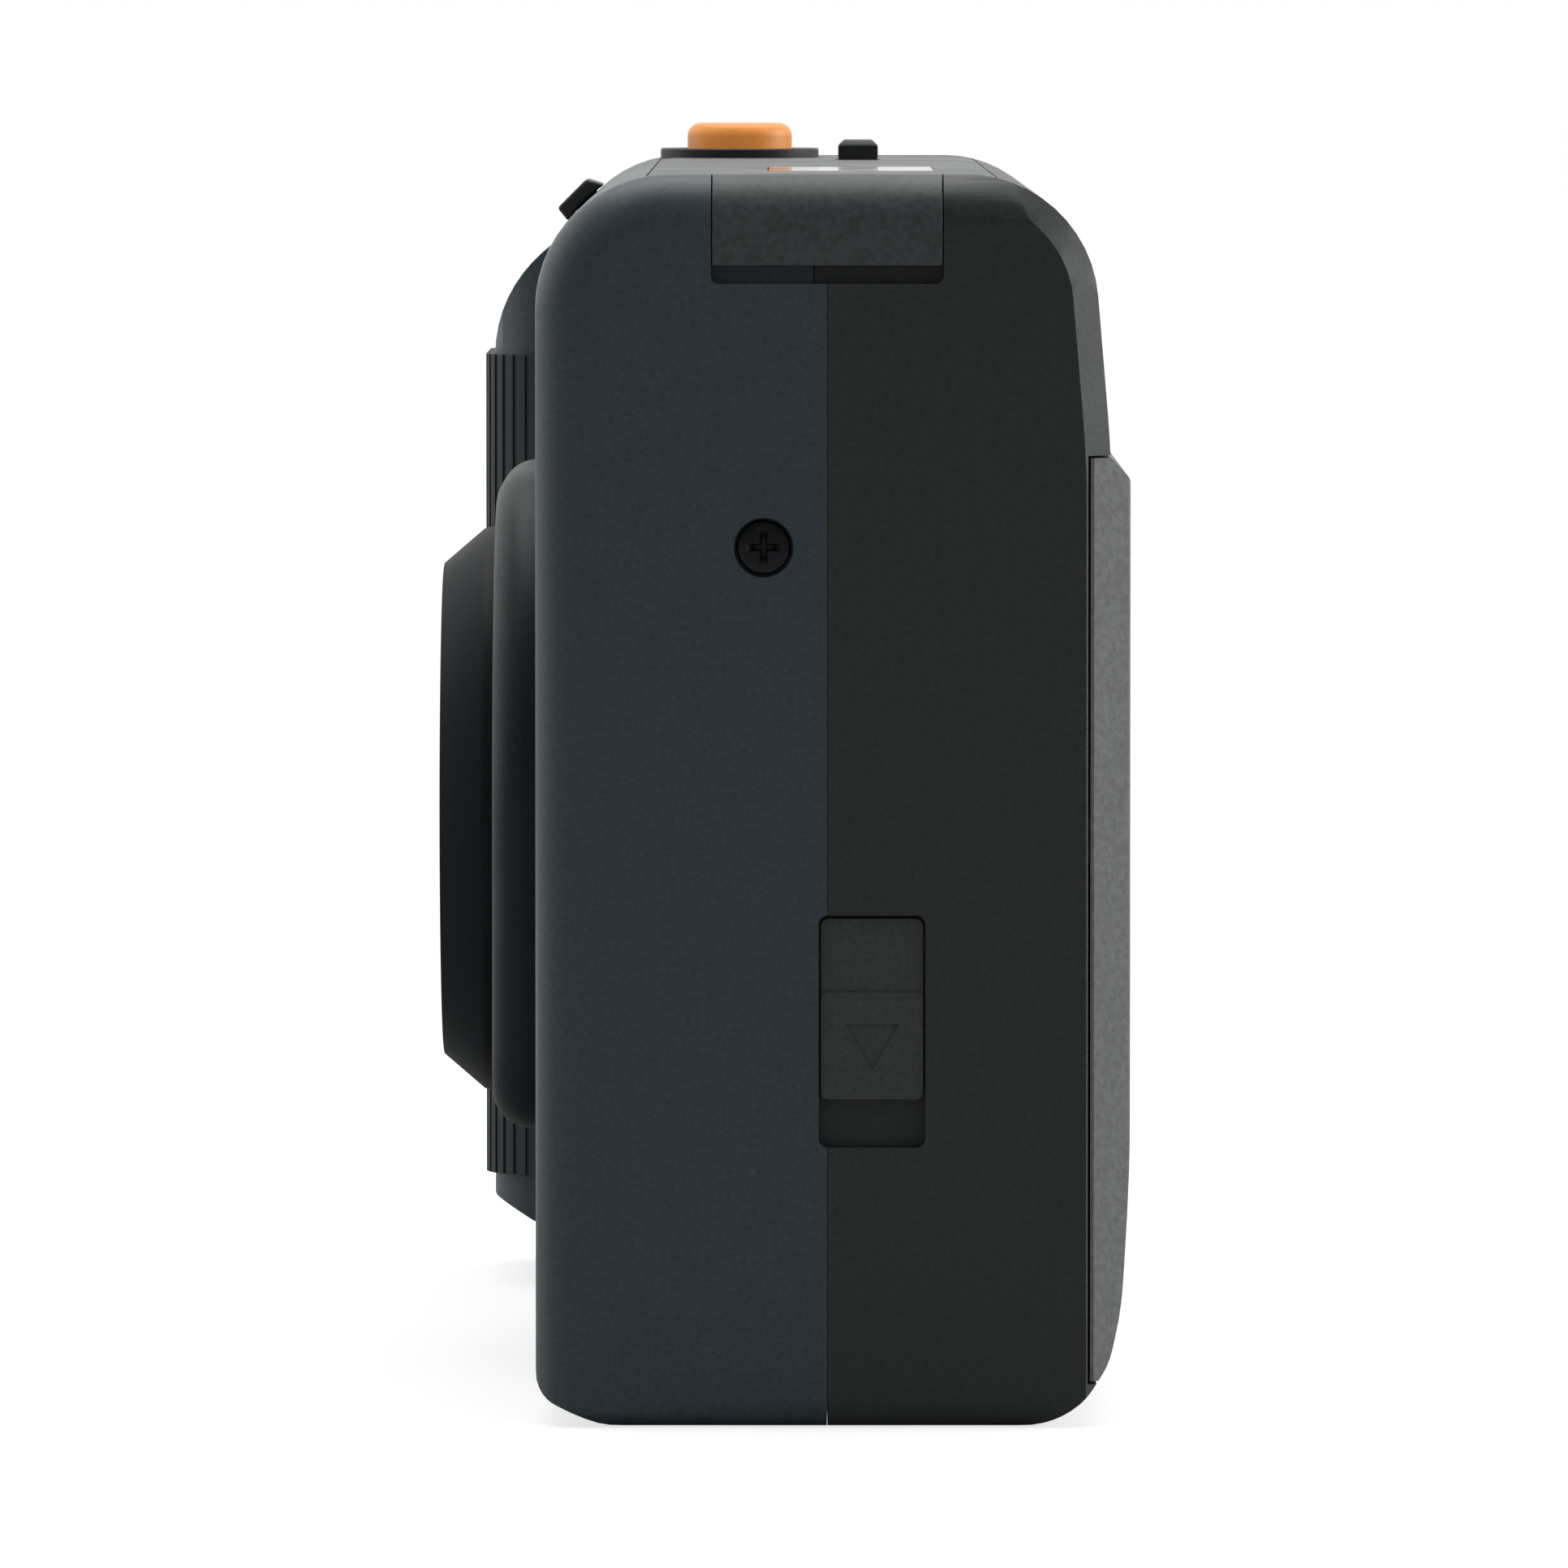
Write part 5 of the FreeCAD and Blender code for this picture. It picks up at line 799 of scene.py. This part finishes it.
def make_floor(settings):
    """A wide pale floor that reads as white to the camera and keeps a light shadow."""
    mesh = bpy.data.meshes.new("floor")
    corners = ((-1, -1), (1, -1), (1, 1), (-1, 1))
    mesh.from_pydata([(x * FLOOR_REACH, y * FLOOR_REACH, FLOOR_LEVEL) for x, y in corners], [],
                     [(0, 1, 2, 3)])
    floor = placed("floor", mesh)
    material = bpy.data.materials.new("floor")
    material.use_nodes = True
    tree = material.node_tree
    tree.nodes.clear()
    matt = add(tree, "ShaderNodeBsdfDiffuse", {"Color": (*settings.floor, 1.0)})
    seen = add(tree, "ShaderNodeEmission", {"Strength": FLOOR_GLOW})
    both = add(tree, "ShaderNodeAddShader", {0: matt.outputs[0], 1: seen.outputs[0]})
    ray = add(tree, "ShaderNodeLightPath")
    picked = add(tree, "ShaderNodeMixShader",
                 {0: ray.outputs["Is Camera Ray"], 1: matt.outputs[0], 2: both.outputs[0]})
    out = tree.nodes.new("ShaderNodeOutputMaterial")
    tree.links.new(picked.outputs[0], out.inputs["Surface"])
    mesh.materials.append(material)


def make_world(settings):
    """White to the camera and in reflections, softer as light, dimmer from behind the camera."""
    world = bpy.data.worlds.new("soft light")
    bpy.context.scene.world = world
    world.use_nodes = True
    tree = world.node_tree
    tree.nodes.clear()
    place = add(tree, "ShaderNodeTexCoord").outputs["Generated"]
    along = add(tree, "ShaderNodeSeparateXYZ", {"Vector": place}).outputs["X"]
    fall = ranged(tree, along, GLOSS_FROM, GLOSS_TO, GLOSS_BRIGHT, GLOSS_DIM)
    soft = ranged(tree, along, -1.0, 1.0, settings.level, SOFT_DIM * settings.level)
    ray = add(tree, "ShaderNodeLightPath")
    shiny = add(tree, "ShaderNodeMix",
                {0: ray.outputs["Is Glossy Ray"], 2: soft, 3: fall}).outputs[0]
    direct = add(tree, "ShaderNodeMath", {0: ray.outputs["Is Camera Ray"],
                                          1: ray.outputs["Is Transmission Ray"]},
                 operation="MAXIMUM").outputs[0]
    strength = add(tree, "ShaderNodeMix", {0: direct, 2: shiny, 3: 1.0}).outputs[0]
    back = add(tree, "ShaderNodeBackground", {"Strength": strength})
    back.inputs["Color"].default_value = (1.0, 1.0, 1.0, 1.0)
    out = tree.nodes.new("ShaderNodeOutputWorld")
    tree.links.new(back.outputs[0], out.inputs["Surface"])


def make_lamps():
    """Three large softboxes: above, and behind on each side."""
    target = Vector(LAMP_TARGET)
    for name, place, size, power in LAMPS:
        lamp = bpy.data.lights.new(name, "AREA")
        lamp.shape = "SQUARE"
        lamp.size = size
        lamp.energy = power
        thing = bpy.data.objects.new(name, lamp)
        bpy.context.scene.collection.objects.link(thing)
        thing.location = place
        thing.rotation_mode = "QUATERNION"
        thing.rotation_quaternion = (target - Vector(place)).to_track_quat("-Z", "Y")


def make_camera(settings):
    """A long lens level with the case, a little above its middle, on its near side."""
    data = bpy.data.cameras.new("camera")
    data.sensor_width = CAMERA_SENSOR
    data.lens = CAMERA_LENS
    data.clip_start, data.clip_end = CAMERA_CLIP
    camera = bpy.data.objects.new("camera", data)
    bpy.context.scene.collection.objects.link(camera)
    pitch = math.asin(CAMERA_RISE)
    back = Vector((math.cos(pitch), 0.0, math.sin(pitch)))
    camera.rotation_mode = "QUATERNION"
    camera.location = CAMERA_AIM + back * settings.distance
    camera.rotation_quaternion = (-back).to_track_quat("-Z", "Y")
    bpy.context.scene.camera = camera


# ---------------------------------------------------------------- operators and panel


class PieceOperator:
    """What every operator here shares."""
    bl_options = {"REGISTER", "UNDO"}


class FILMCAM_OT_case(PieceOperator, bpy.types.Operator):
    """Make the case mouldings, the top cover, the lens plinth and the battery hatch"""
    bl_idname = "filmcam.case"
    bl_label = "Case"

    def execute(self, context):
        make_case(context.scene.filmcam_case)
        return {"FINISHED"}


class FILMCAM_OT_screws(PieceOperator, bpy.types.Operator):
    """Make the six case screws"""
    bl_idname = "filmcam.screws"
    bl_label = "Case screws"

    def execute(self, context):
        make_screws()
        return {"FINISHED"}


class FILMCAM_OT_lens(PieceOperator, bpy.types.Operator):
    """Make the lens ring, the barrier, the shutter and the lens elements"""
    bl_idname = "filmcam.lens"
    bl_label = "Lens"

    def execute(self, context):
        make_lens(context.scene.filmcam_lens)
        return {"FINISHED"}


class FILMCAM_OT_release(PieceOperator, bpy.types.Operator):
    """Make the shutter button, its collar and the coil springs"""
    bl_idname = "filmcam.release"
    bl_label = "Shutter button"

    def execute(self, context):
        make_shutter_button(context.scene.filmcam_controls)
        return {"FINISHED"}


class FILMCAM_OT_controls(PieceOperator, bpy.types.Operator):
    """Make the mode button, the main switch and the latch"""
    bl_idname = "filmcam.controls"
    bl_label = "Switches and latch"

    def execute(self, context):
        make_small_controls(context.scene.filmcam_controls)
        return {"FINISHED"}


class FILMCAM_OT_grip(PieceOperator, bpy.types.Operator):
    """Make the ribbed rubber pad"""
    bl_idname = "filmcam.grip"
    bl_label = "Grip pad"

    def execute(self, context):
        make_grip(context.scene.filmcam_grip)
        return {"FINISHED"}


class FILMCAM_OT_door(PieceOperator, bpy.types.Operator):
    """Make the back door and what it carries"""
    bl_idname = "filmcam.door"
    bl_label = "Back door"

    def execute(self, context):
        make_door(context.scene.filmcam_door)
        return {"FINISHED"}


class FILMCAM_OT_windows(PieceOperator, bpy.types.Operator):
    """Finish the windows and the display"""
    bl_idname = "filmcam.windows"
    bl_label = "Windows"

    def execute(self, context):
        make_windows()
        return {"FINISHED"}


class FILMCAM_OT_inside(PieceOperator, bpy.types.Operator):
    """Finish the pieces inside the case"""
    bl_idname = "filmcam.inside"
    bl_label = "Inside"

    def execute(self, context):
        make_inside()
        return {"FINISHED"}


class FILMCAM_OT_stage(PieceOperator, bpy.types.Operator):
    """Set up the floor, the light and the camera"""
    bl_idname = "filmcam.stage"
    bl_label = "Stage"

    def execute(self, context):
        settings = context.scene.filmcam_stage
        make_floor(settings)
        make_world(settings)
        make_lamps()
        make_camera(settings)
        context.scene.view_settings.view_transform = "Standard"
        return {"FINISHED"}


OPERATORS = (FILMCAM_OT_case, FILMCAM_OT_screws, FILMCAM_OT_lens, FILMCAM_OT_release,
             FILMCAM_OT_controls, FILMCAM_OT_grip, FILMCAM_OT_door, FILMCAM_OT_windows,
             FILMCAM_OT_inside, FILMCAM_OT_stage)
GROUPS = {"filmcam_case": CaseSettings, "filmcam_lens": LensSettings,
          "filmcam_controls": ControlSettings, "filmcam_grip": GripSettings,
          "filmcam_door": DoorSettings, "filmcam_stage": StageSettings}


class FILMCAM_PT_panel(bpy.types.Panel):
    """Settings and pieces of the film camera"""
    bl_idname = "FILMCAM_PT_panel"
    bl_label = "Film camera"
    bl_space_type = "VIEW_3D"
    bl_region_type = "UI"
    bl_category = "Film camera"

    def draw(self, context):
        for attribute, group in GROUPS.items():
            box = self.layout.box()
            settings = getattr(context.scene, attribute)
            for key in group.__annotations__:
                box.prop(settings, key)
        for operator in OPERATORS:
            self.layout.operator(operator.bl_idname)


def register():
    """Make the settings, operators and panel known to Blender."""
    for group in GROUPS.values():
        bpy.utils.register_class(group)
    for operator in OPERATORS:
        bpy.utils.register_class(operator)
    bpy.utils.register_class(FILMCAM_PT_panel)
    for attribute, group in GROUPS.items():
        setattr(bpy.types.Scene, attribute, PointerProperty(type=group))


def unregister():
    """Take them out again."""
    for attribute in GROUPS:
        delattr(bpy.types.Scene, attribute)
    bpy.utils.unregister_class(FILMCAM_PT_panel)
    for operator in reversed(OPERATORS):
        bpy.utils.unregister_class(operator)
    for group in reversed(GROUPS.values()):
        bpy.utils.unregister_class(group)


def main():
    """Make every piece in turn."""
    register()
    for operator in OPERATORS:
        family, call = operator.bl_idname.split(".")
        getattr(getattr(bpy.ops, family), call)()


if __name__ == "__main__":
    main()
